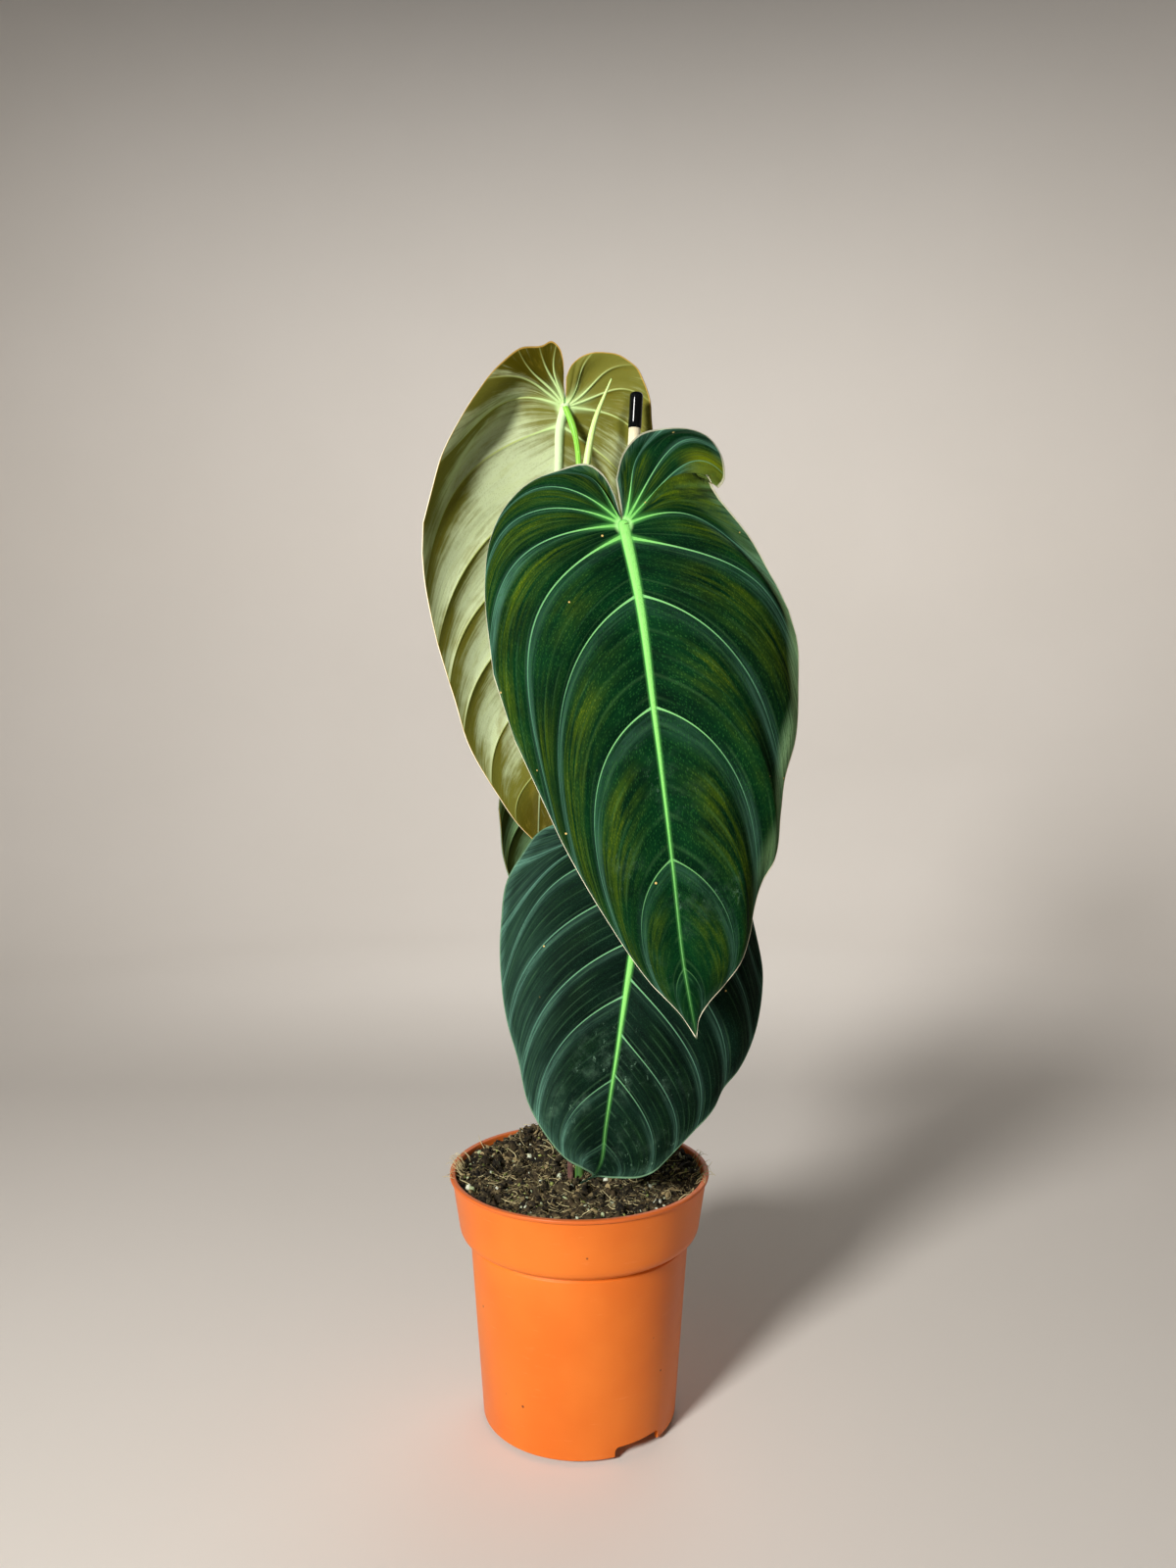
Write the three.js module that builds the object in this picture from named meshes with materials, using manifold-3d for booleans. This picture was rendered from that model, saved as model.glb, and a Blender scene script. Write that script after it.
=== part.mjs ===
// Potted Philodendron melanochrysum: four hanging velvet leaves, a new leaf spear, one stem and a
// wooden stake in a 12 cm terracotta coloured nursery pot.
// Millimetres, +Z up, the front of the plant towards -Y, the pot's base centred on the origin.

import * as THREE from "three";
import { mergeVertices } from "three/addons/utils/BufferGeometryUtils.js";
import Module from "manifold-3d";

const wasm = await Module();
wasm.setup();

const GAP = 0.3;             // air left between touching pieces
const WELD = 1e-4;           // points closer than this are one

// Pot
const POT_HEIGHT = 113;
const RIM_RADIUS = 60;
const COLLAR_TOP_RADIUS = 58.3;
const COLLAR_FOOT_RADIUS = 55.4;
const COLLAR_FOOT_Z = 88;
const BODY_TOP_RADIUS = 50.5;
const BODY_TOP_Z = 82;
const BODY_FOOT_RADIUS = 44.8;
const WALL = 1.5;
const CHANNEL_INNER = 31;    // raised drainage channel in the underside
const CHANNEL_OUTER = 42.2;
const CHANNEL_HEIGHT = 5;
const CHANNEL_SLOPE = 2.5;
const LIP_HEIGHT = 2.6;
const EDGE_ROUND = 0.7;
const NOTCH_HEIGHT = 4.6;    // openings through the foot ring
const NOTCH_WIDTH = 24;
const NOTCH_ROUND = 2;
const NOTCH_ANGLES = [-54, 126];
const DRAIN_HOLES = 8;
const DRAIN_RADIUS = 3.5;
const POT_SEGMENTS = 64;

// Soil
const SOIL_TOP = 108;
const SOIL_SEGMENTS = 48;
const SOIL_RINGS = [55.2, 51, 46, 40, 33, 26, 19, 12, 6];
const LEVEL_RADIUS = 12;     // the soil is smooth round the stem
const HEAP = { radius: 49, width: 9, turn: 2.05, arc: 0.36, height: 6 };

// Stake
const STAKE_FOOT = new THREE.Vector3(1.5, 10, 25);
const STAKE_TOP = new THREE.Vector3(26, 2, 469);
const STAKE_RADIUS = 2.65;
const CAP_RADIUS = 3;
const CAP_LENGTH = 16.3;
const SPIGOT_RADIUS = 2.2;
const SPIGOT_LENGTH = 10;
const STAKE_SEGMENTS = 16;

// Leaves
const BLADE_THICKNESS = 0.8;
const RIB_HEIGHT = 1.3;      // midrib standing proud of the underside
const PETIOLE_SEAT = 1;      // from the blade's middle surface to the petiole's end
const PETIOLE_HEAD_RADIUS = 1.6;

// The grid of a blade: where points lie on a line from midrib to margin, and how many lines there are
const ACROSS = [0, 0.05, 0.16, 0.32, 0.5, 0.68, 0.85, 1];
const BASAL_STEPS = 3;
const CELL_STEPS = 3;
const LONGEST_STEP = 0.06;   // of the midrib, between two lines

// How a line of the grid bends, as shares of its span, and the stretches its end directions are read over
const REACH = 0.33;
const BOWED_REACH = 0.04;
const BASAL_STRETCH = 0.12;  // of the midrib, over which a leaf's own reach fades
const RIB_WINDOW = 0.02;
const MARGIN_WINDOW = 0.03;

// The pleats between veins: they rise, then fall towards the margin and towards the tip
const PLEAT_RISE = 0.25;
const PLEAT_CREST = 0.6;
const PLEAT_FALL = 0.45;
const PLEAT_TIP = 0.25;

// Every leaf is given relative to the point where its petiole meets it. midrib runs from there to the
// drip tip, left and right are the two margins from the sinus round the lobe to the tip, and each
// vein row holds [start along the midrib, end along the margin, angle leaving the midrib, angle
// meeting the margin], with the angles in degrees.
const LEAVES = {
  front_upper: {
    attach: [18.5, -55, 400], face: [0, -1, 0.1], bulge: 0.045, pleat: 2.2, reach: 0.12,
    midrib: [
      [0, 0, 0], [6, -7, -30.5], [11.5, -17, -75], [18.5, -25, -135], [23, -27, -175], [28.5, -25, -205]
    ],
    left: [
      [-3.5, 5, 13], [-8.5, 11, 23], [-15.5, 17, 28.5], [-27, 19, 26], [-38, 19, 21.5], [-49, 15, 10],
      [-55.5, 11, -6], [-57, 7, -24.5], [-55, 3, -47], [-50.5, -1, -72], [-44, -4, -88],
      [-35, -7, -107], [-23.5, -11, -131], [-7.5, -16, -158], [10.5, -21, -183.5], [23.5, -24, -197],
      [28.5, -25, -205]
    ],
    right: [
      [-3, 5, 19.5], [1, 11, 33], [7, 13, 39.5], [18, 15, 42.5], [28, 13, 41.5], [35, 9, 37.5],
      [39.5, 5, 30.5], [41, 1, 22], [40.5, -1, 17.5], [38, -2, 14.5], [36, -2, 16], [34, -1, 20],
      [36, 0, 15.5], [39.5, 1, 10], [45, 3, 4], [53, 5, -5.5], [60.5, 7, -18], [68, 7, -32],
      [72, 6, -47], [72, 3, -65], [70, -1, -88.5], [65.5, -5, -102.5], [63.5, -8, -116],
      [59.5, -12, -137.5], [55.5, -13, -144], [52, -15, -154.5], [50, -17, -165], [46, -20, -175.5],
      [39.5, -22, -184], [32.5, -24, -191.5], [29, -25, -197.5], [28.5, -25, -205]
    ],
    veinsLeft: [
      [0, 0, 176, 60], [0, 0.129, 162, 20], [0, 0.239, 147, 12], [0, 0.314, 127, 8], [0, 0.409, 96, 12],
      [0.02, 0.678, 74, 8], [0.144, 0.733, 67, 0], [0.366, 0.855, 64, 0], [0.655, 0.933, 56, 6],
      [0.86, 0.975, 45, 12], [1, 1, 40, 20]
    ],
    veinsRight: [
      [0, 0, 170, 60], [0, 0.097, 155, 38], [0, 0.19, 138, 30], [0, 0.225, 122, 60], [0, 0.41, 102, 26],
      [0.025, 0.53, 65, 13], [0.144, 0.69, 65, 0], [0.366, 0.82, 66, 0], [0.655, 0.925, 61, 15],
      [0.86, 0.97, 48, 15], [1, 1, 40, 20]
    ],
  },
  back_upper: {
    attach: [-6.5, 20, 467], face: [0, 1, 0.1], bulge: 0.04, pleat: 2.4, reach: 0.12,
    midrib: [
      [0, 0, 0], [-1.5, 1.5, -4], [-3.5, 7, -27], [-7, 16, -82], [-11, 21, -148.5], [-13.5, 20, -187],
      [-14, 16, -207]
    ],
    left: [
      [-1, -5, 13], [-1, -8, 20], [-3, -10, 25], [-6, -11, 27], [-10.5, -11, 25], [-19.5, -13, 23.5],
      [-29.5, -16, 15.5], [-40, -19, 1.5], [-47, -20, -9.5], [-55, -18, -23.5], [-61, -14, -40.5],
      [-66, -10, -57.5], [-66.5, -8, -68.5], [-65.5, -4, -84.5], [-61, 1, -109], [-53.5, 6, -136],
      [-47, 10, -158.5], [-34.5, 14, -181], [-23, 16, -198], [-14, 16, -207]
    ],
    right: [
      [0.5, -4, 12.5], [3, -7, 17.5], [7, -8.5, 20.5], [11.5, -9.5, 22], [20, -10.5, 22],
      [24.5, -11, 21], [29.5, -11, 18], [33.5, -11, 14.5], [36, -11, 9.5], [39, -9, 1.5],
      [40, -7, -8.5], [43, -4, -30], [45, -2, -52], [44.5, 2, -79], [40.5, 6, -106.5], [33, 10, -134.5],
      [22.5, 14, -160.5], [10.5, 17, -181], [-2.5, 18, -196.5], [-14, 16, -207]
    ],
    veinsLeft: [
      [0, 0, 178, 60], [0, 0.05, 160, 35], [0, 0.08, 140, 55], [0, 0.115, 122, 50], [0, 0.185, 112, 40],
      [0, 0.335, 92, 30], [0.04, 0.525, 62, 18], [0.18, 0.625, 61, 26], [0.31, 0.69, 58, 24],
      [0.455, 0.772, 60, 24], [0.626, 0.875, 54, 26], [0.82, 0.95, 45, 25], [1, 1, 40, 25]
    ],
    veinsRight: [
      [0, 0, 178, 60], [0, 0.063, 165, 34], [0, 0.135, 139, 43], [0, 0.2, 125, 40], [0, 0.28, 106, 36],
      [0.04, 0.4, 68, 37], [0.18, 0.565, 62, 28], [0.31, 0.665, 58, 26], [0.455, 0.765, 58, 24],
      [0.626, 0.872, 54, 25], [0.82, 0.95, 45, 25], [1, 1, 40, 25]
    ],
  },
  front_lower: {
    attach: [30, -24, 263.5], face: [0, -1, 0.15], bulge: 0.04, pleat: 1.8, reach: 0.08,
    midrib: [
      [0, 0, 0], [-3, -7, -21], [-8, -15, -47.5], [-14, -21, -86], [-18.5, -22, -115.5],
      [-20.5, -19, -132], [-23, -15, -138.5], [-29.5, -6, -146.5]
    ],
    left: [
      [-5, 6, 9], [-13, 12, 13], [-24, 14, 15], [-32.5, 14, 13.5], [-41.5, 13, 10.5], [-47.5, 12, 7.5],
      [-55, 10, -2], [-62, 7, -14], [-64.5, 4, -32], [-64.5, 0, -53], [-61.5, -5, -73.5],
      [-56.5, -9, -89.5], [-51, -14, -109.5], [-43.5, -17, -121.5], [-34.5, -18, -131.5],
      [-28, -17, -135.5], [-24.5, -15, -138.5], [-29.5, -6, -146.5]
    ],
    right: [
      [3.5, 6, 10], [13.5, 12, 13], [25, 14, 9], [36, 14, -1.5], [44.5, 12, -19.5], [49.5, 10, -39.5],
      [52, 7, -55.5], [51, 4, -67.5], [45.5, -2, -86], [39.5, -6, -96], [32.5, -10, -103],
      [28.5, -13, -110], [17, -17, -121.5], [7.5, -20, -130.5], [1, -21, -136], [-4, -20.5, -138],
      [-10.5, -19, -139], [-16.5, -17, -139.5], [-21.5, -14.5, -140], [-29.5, -6, -146.5]
    ],
    veinsLeft: [
      [0, 0, 175, 60], [0, 0.1, 160, 40], [0, 0.19, 145, 32], [0, 0.284, 128, 28], [0, 0.421, 98, 28],
      [0, 0.53, 76, 24], [0.1, 0.605, 62, 24], [0.25, 0.7, 56, 24], [0.4, 0.79, 57, 33],
      [0.625, 0.875, 50, 36], [0.8, 0.915, 46, 45], [0.914, 0.943, 45, 40], [1, 1, 40, 20]
    ],
    veinsRight: [
      [0, 0, 170, 60], [0, 0.1, 155, 40], [0, 0.2, 138, 36], [0, 0.32, 112, 32], [0, 0.44, 88, 30],
      [0.1, 0.54, 64, 28], [0.22, 0.64, 58, 28], [0.35, 0.73, 51, 28], [0.5, 0.79, 46, 28],
      [0.61, 0.85, 50, 40], [0.8, 0.905, 50, 50], [0.914, 0.944, 45, 40], [1, 1, 40, 20]
    ],
  },
  back_lower: {
    attach: [5, 58, 316], face: [0, 1, 0.1], bulge: 0.04, pleat: 1.8, reach: 0.1,
    midrib: [
      [0, 0, 0], [-1, 8, -27.5], [-2.5, 12, -58.5], [-4.5, 14, -100], [-6, 10, -135]
    ],
    left: [
      [-2, 0, 11.5], [-7, -1, 18.5], [-17, -3, 20], [-28, -5, 15], [-37.5, -7, 3.5], [-43, -8, -14.5],
      [-46, -8, -35.5], [-45, -7, -49], [-44, -5, -63], [-41, -3, -74.5], [-34.5, 0, -90],
      [-23.5, 4, -111], [-13.5, 8, -126], [-6, 10, -135]
    ],
    right: [
      [2, 0, 11.5], [7, -1, 18.5], [16.5, -3, 20], [27.5, -5, 15], [36, -7, 3.5], [41, -8, -14.5],
      [43, -8, -35.5], [42.5, -7, -49], [40, -5, -63], [37, -3, -74.5], [29, 0, -90], [15, 4, -111],
      [2, 8, -126], [-6, 10, -135]
    ],
    veinsLeft: [
      [0, 0, 176, 60], [0, 0.12, 158, 35], [0, 0.23, 138, 28], [0, 0.33, 112, 22], [0.02, 0.5, 72, 18],
      [0.18, 0.62, 64, 16], [0.38, 0.74, 60, 14], [0.6, 0.86, 54, 14], [0.82, 0.94, 46, 18],
      [1, 1, 40, 20]
    ],
    veinsRight: [
      [0, 0, 176, 60], [0, 0.12, 158, 35], [0, 0.23, 138, 28], [0, 0.33, 112, 22], [0.02, 0.5, 72, 18],
      [0.18, 0.62, 64, 16], [0.38, 0.74, 60, 14], [0.6, 0.86, 54, 14], [0.82, 0.94, 46, 18],
      [1, 1, 40, 20]
    ],
  },
};

// Stem and the pieces that grow from it, as [x, y, z, radius]. Each petiole goes on to its leaf's seat.
const STEM = [
  [0, 0, 74, 1.6], [0, 0, 110, 2.1], [1.5, 0.6, 150, 2.1], [1.8, 0.4, 165, 2.6], [1, 0, 190, 2],
  [0.2, 0.6, 212, 2.5], [0.6, 1.4, 245, 1.9], [1.2, 1.2, 283, 2.4], [0.4, 1.8, 318, 1.8],
  [-0.5, 2.4, 348, 2.2], [-0.4, 2.6, 354, 1.9],
];
const PETIOLES = {
  front_upper: [[1.2, 1.2, 281, 2], [3.2, -6, 303, 1.6], [8.5, -22, 343, 1.4], [14.5, -40, 382, 1.3]],
  back_upper: [
    [-0.4, 2.4, 336, 1.9], [-4, 6.4, 354, 1.6], [-3.8, 8.2, 376, 1.4], [-1.8, 10, 412, 1.3],
    [-0.1, 12, 437, 1.3], [-2.6, 16.5, 456, 1.3],
  ],
  front_lower: [[1.8, 0.4, 163, 2], [5.5, -4.5, 186, 1.6], [12, -8, 216, 1.4], [22, -13, 248, 1.3]],
  back_lower: [[0.2, 0.6, 210, 1.9], [-2.6, 9, 229, 1.5], [0, 26, 249, 1.3], [4, 42, 277, 1.3]],
};
const SPEAR = [
  [-0.4, 2.6, 354, 1.9], [1.4, 3.6, 395, 1.9], [3.3, 4, 437, 1.7], [7, 3.4, 456, 1.25],
  [14.6, 2, 475, 0.35],
];
const DRIED_SHEATH = [
  [-3.9, -0.6, 100, 1.1], [-4.1, -0.8, 108, 1.3], [-4.3, -0.9, 114, 1.1], [-4.9, -1, 119, 0.6],
];
const STEM_GRID = [12, 44];      // sides and steps of each rod
const PETIOLE_GRID = [10, 20];
const SHEATH_GRID = [8, 8];
const ROD_WINDOW = 0.01;         // share of a rod over which its direction is read

const vector = ([x, y, z]) => new THREE.Vector3(x, y, z);
const clamp01 = (value) => Math.min(1, Math.max(0, value));

// A smooth curve through hand-placed points, read by its share of the length
class SmoothLine {
  constructor(rows) {
    this.rows = rows;
    this.share = [0];
    for (let i = 1; i < rows.length; i++) {
      const step = vector(rows[i]).distanceTo(vector(rows[i - 1]));
      this.share.push(this.share[i - 1] + step);
    }
    this.length = this.share.at(-1);
    this.share = this.share.map((value) => value / this.length);
    this.slope = rows.map((row, i) => row.map((_, axis) => this.slopeAt(i, axis)));
  }

  slopeAt(i, axis) {
    const last = this.rows.length - 1;
    const rise = (k) => (this.rows[k + 1][axis] - this.rows[k][axis]) / this.width(k);
    if (i === 0) return rise(0);
    if (i === last) return rise(last - 1);
    const before = this.width(i - 1);
    const after = this.width(i);
    return (rise(i - 1) * after + rise(i) * before) / (before + after);
  }

  width(i) {
    return this.share[i + 1] - this.share[i];
  }

  row(share) {
    const at = clamp01(share);
    let i = this.share.findIndex((value) => value > at) - 1;
    if (i < 0) i = this.rows.length - 2;
    const width = this.width(i);
    const x = (at - this.share[i]) / width;
    const h00 = 2 * x ** 3 - 3 * x ** 2 + 1;
    const h10 = x ** 3 - 2 * x ** 2 + x;
    const h01 = 3 * x ** 2 - 2 * x ** 3;
    const h11 = x ** 3 - x ** 2;
    return this.rows[i].map((value, axis) => h00 * value + h10 * width * this.slope[i][axis]
      + h01 * this.rows[i + 1][axis] + h11 * width * this.slope[i + 1][axis]);
  }

  point(share) {
    return vector(this.row(share));
  }

  direction(share, reach) {
    return this.point(share + reach).sub(this.point(share - reach)).normalize();
  }
}

// Reads one column of a vein table between its rows
function between(rows, place, column) {
  const i = Math.min(Math.floor(place), rows.length - 2);
  return rows[i][column] + (rows[i + 1][column] - rows[i][column]) * (place - i);
}

// Centre of a list of [x, y, z] rows
function middle(rows) {
  const sum = rows.reduce((total, row) => total.add(vector(row)), new THREE.Vector3());
  return sum.divideScalar(rows.length);
}

// One line of the blade, from the midrib out to the margin, bowed like a vein
function veinLine(leaf, midrib, margin, rows, place) {
  const share = between(rows, place, 0);
  const start = midrib.point(share);
  const end = margin.point(between(rows, place, 1));
  const along = midrib.direction(share, RIB_WINDOW);
  const face = vector(leaf.face).normalize();
  const outward = middle(margin.rows).sub(middle(midrib.rows));
  const side = new THREE.Vector3().crossVectors(along, face).normalize();
  const hand = Math.sign(side.dot(outward));
  side.multiplyScalar(hand);
  const edge = margin.direction(between(rows, place, 1), MARGIN_WINDOW);
  const chord = end.clone().sub(start);
  const span = chord.length();
  const up = new THREE.Vector3().crossVectors(chord, along).normalize();
  if (up.dot(face) < 0) up.negate();
  const angle = THREE.MathUtils.degToRad(between(rows, place, 2));
  const leave = along.clone().multiplyScalar(Math.cos(angle)).addScaledVector(side, Math.sin(angle));
  const away = new THREE.Vector3().crossVectors(edge, up).normalize().multiplyScalar(hand);
  const meet = THREE.MathUtils.degToRad(between(rows, place, 3));
  const arrive = edge.clone().multiplyScalar(Math.cos(meet)).addScaledVector(away, Math.sin(meet));
  const bowed = clamp01(place);
  const reach = REACH + (BOWED_REACH + leaf.reach * clamp01(1 - share / BASAL_STRETCH)) * bowed;
  const straight = chord.normalize();
  leave.lerp(straight, 1 - bowed);
  arrive.lerp(straight, 1 - bowed);
  const lift = up.multiplyScalar(leaf.bulge * span * bowed * (1 - share ** 2));
  const first = start.clone().addScaledVector(leave, reach * span).add(lift);
  const second = end.clone().addScaledVector(arrive, -reach * span).add(lift);
  return new THREE.CubicBezierCurve3(start, first, second, end);
}

// Shares of the midrib at which grid lines leave it, common to both halves
function midribStops(leaf) {
  const veins = [...leaf.veinsLeft, ...leaf.veinsRight].map((row) => row[0]);
  const ends = [...new Set(veins.filter((share) => share > 0))].sort((a, b) => a - b);
  const stops = [];
  let previous = 0;
  for (const end of ends) {
    const steps = Math.min(CELL_STEPS, Math.max(1, Math.round((end - previous) / LONGEST_STEP)));
    for (let i = 1; i <= steps; i++) stops.push(previous + ((end - previous) * i) / steps);
    previous = end;
  }
  return stops.filter((share) => share < 0.9999);
}

// Places in a vein table that match the basal steps and then the midrib stops
function placesOf(rows, stops) {
  const basal = rows.filter((row) => row[0] === 0).length - 1;
  const places = [];
  for (let i = 0; i <= basal * BASAL_STEPS; i++) places.push(i / BASAL_STEPS);
  for (const stop of stops) {
    let i = basal;
    while (rows[i + 1][0] < stop) i++;
    places.push(i + (stop - rows[i][0]) / (rows[i + 1][0] - rows[i][0]));
  }
  return places;
}

// The middle surface of a blade: points, relief height, rib share and triangles
function bladeGrid(leaf) {
  const midrib = new SmoothLine(leaf.midrib);
  const stops = midribStops(leaf);
  const points = [midrib.point(0), ...stops.map((stop) => midrib.point(stop)), midrib.point(1)];
  const tip = points.length - 1;
  const relief = points.map(() => 0);
  const rib = [1, ...stops.map((stop) => 1 - stop), 0];
  const triangles = [];
  const borders = [];
  for (const half of ["left", "right"]) {
    const margin = new SmoothLine(leaf[half]);
    const rows = half === "left" ? leaf.veinsLeft : leaf.veinsRight;
    const places = placesOf(rows, stops);
    const basalLines = places.length - stops.length;
    const grid = places.map((place, i) => {
      const line = veinLine(leaf, midrib, margin, rows, place);
      const fade = clamp01((1 - between(rows, place, 0)) / PLEAT_TIP);
      const height = leaf.pleat * Math.abs(Math.sin(Math.PI * place)) * fade;
      return ACROSS.map((across, j) => {
        if (j === 0) return i < basalLines ? 0 : i - basalLines + 1;
        const fall = PLEAT_FALL * clamp01((across - PLEAT_CREST) / (1 - PLEAT_CREST));
        points.push(line.getPoint(across));
        relief.push(height * clamp01(across / PLEAT_RISE) * (1 - fall));
        rib.push(0);
        return points.length - 1;
      });
    });
    grid.push(ACROSS.map(() => tip));
    for (let i = 0; i + 1 < grid.length; i++) {
      for (let j = 0; j + 1 < ACROSS.length; j++) {
        const [a, b, c, d] = [grid[i][j], grid[i + 1][j], grid[i + 1][j + 1], grid[i][j + 1]];
        for (const triangle of [[a, b, c], [a, c, d]]) {
          if (new Set(triangle).size === 3) triangles.push(half === "left" ? triangle : triangle.reverse());
        }
      }
    }
    borders.push([...grid[0], ...grid.slice(1, -1).map((line) => line.at(-1)), tip]);
  }
  const border = [...borders[0], ...borders[1].reverse().slice(1, -1)];
  return { points, relief, rib, triangles, border };
}

function pointNormals(points, triangles) {
  const normals = points.map(() => new THREE.Vector3());
  for (const [a, b, c] of triangles) {
    const first = points[b].clone().sub(points[a]);
    const normal = first.cross(points[c].clone().sub(points[a]));
    for (const corner of [a, b, c]) normals[corner].add(normal);
  }
  return normals.map((normal) => normal.normalize());
}

// A closed blade with veins pressed into the upper side and the rib standing out below
function bladeGeometry(leaf, extra = 0) {
  const { points, relief, rib, triangles, border } = bladeGrid(leaf);
  const face = vector(leaf.face);
  const total = pointNormals(points, triangles).reduce((sum, normal) => sum.add(normal), new THREE.Vector3());
  if (total.dot(face) < 0) triangles.forEach((triangle) => triangle.reverse());
  const flat = pointNormals(points, triangles);
  points.forEach((point, i) => point.addScaledVector(flat[i], relief[i]));
  const normals = pointNormals(points, triangles);
  const half = BLADE_THICKNESS / 2 + extra;
  const upper = points.map((point, i) => point.clone().addScaledVector(normals[i], half));
  const depth = rib.map((height) => half + RIB_HEIGHT * height);
  const lower = points.map((point, i) => point.clone().addScaledVector(normals[i], -depth[i]));
  const under = points.length;
  const faces = [...triangles, ...triangles.map(([a, b, c]) => [a + under, c + under, b + under])];
  const directed = new Set(triangles.flatMap(([a, b, c]) => [`${a},${b}`, `${b},${c}`, `${c},${a}`]));
  border.forEach((from, i) => {
    const to = border[(i + 1) % border.length];
    const [a, b] = directed.has(`${from},${to}`) ? [from, to] : [to, from];
    faces.push([b, a, a + under], [b, a + under, b + under]);
  });
  return indexed([...upper, ...lower], faces);
}

function indexed(points, faces) {
  const geometry = new THREE.BufferGeometry();
  geometry.setAttribute("position", new THREE.Float32BufferAttribute(points.flatMap((p) => p.toArray()), 3));
  geometry.setIndex(faces.flat());
  return geometry;
}

// A closed round rod through [x, y, z, radius] rows, with flat ends
function rodGeometry(rows, [sides, steps], extra = 0) {
  const line = new SmoothLine(rows);
  const points = [];
  const faces = [];
  let normal = new THREE.Vector3(1, 0, 0);
  for (let i = 0; i <= steps; i++) {
    const [x, y, z, radius] = line.row(i / steps);
    const along = line.direction(i / steps, ROD_WINDOW);
    normal = normal.clone().addScaledVector(along, -normal.dot(along)).normalize();
    const binormal = new THREE.Vector3().crossVectors(along, normal);
    for (let k = 0; k < sides; k++) {
      const turn = (2 * Math.PI * k) / sides;
      const point = new THREE.Vector3(x, y, z);
      point.addScaledVector(normal, Math.cos(turn) * (radius + extra));
      point.addScaledVector(binormal, Math.sin(turn) * (radius + extra));
      points.push(point);
    }
  }
  for (let i = 0; i < steps; i++) {
    for (let k = 0; k < sides; k++) {
      const next = (k + 1) % sides;
      const [a, b, c, d] = [i * sides + k, i * sides + next, (i + 1) * sides + next, (i + 1) * sides + k];
      faces.push([a, b, c], [a, c, d]);
    }
  }
  const foot = points.push(line.point(0)) - 1;
  const head = points.push(line.point(1)) - 1;
  for (let k = 0; k < sides; k++) {
    const next = (k + 1) % sides;
    faces.push([foot, next, k], [head, steps * sides + k, steps * sides + next]);
  }
  return indexed(points, faces);
}

function toSolid(geometry) {
  geometry.deleteAttribute("normal");
  geometry.deleteAttribute("uv");
  const merged = mergeVertices(geometry, WELD);
  const vertProperties = new Float32Array(merged.attributes.position.array);
  const triVerts = new Uint32Array(merged.index.array);
  return new wasm.Manifold(new wasm.Mesh({ numProp: 3, vertProperties, triVerts }));
}

function toGeometry(solid) {
  const mesh = solid.getMesh();
  const geometry = new THREE.BufferGeometry();
  geometry.setAttribute("position", new THREE.Float32BufferAttribute(mesh.vertProperties, 3));
  geometry.setIndex(new THREE.Uint32BufferAttribute(mesh.triVerts, 1));
  return geometry;
}

// Cuts tools from a solid and keeps its largest piece
function carve(geometry, tools) {
  let solid = toSolid(geometry);
  for (const tool of tools) solid = solid.subtract(toSolid(tool));
  const pieces = solid.decompose().sort((a, b) => b.volume() - a.volume());
  return toGeometry(pieces[0]);
}

// A lathe profile of [radius, height] pairs turned about +Z
function turned(profile, segments) {
  const outline = profile.map(([radius, height]) => new THREE.Vector2(radius, height));
  const geometry = new THREE.LatheGeometry(outline, segments);
  geometry.rotateX(Math.PI / 2);
  return geometry;
}

// Pot
const INSIDE_BODY_FOOT = BODY_FOOT_RADIUS - WALL;
const INSIDE_BODY_TOP = BODY_TOP_RADIUS - WALL;
const INSIDE_COLLAR_FOOT = COLLAR_FOOT_RADIUS - WALL;
const INSIDE_COLLAR_TOP = COLLAR_TOP_RADIUS - WALL;
const CHANNEL_ROOF = CHANNEL_HEIGHT + WALL;

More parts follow.
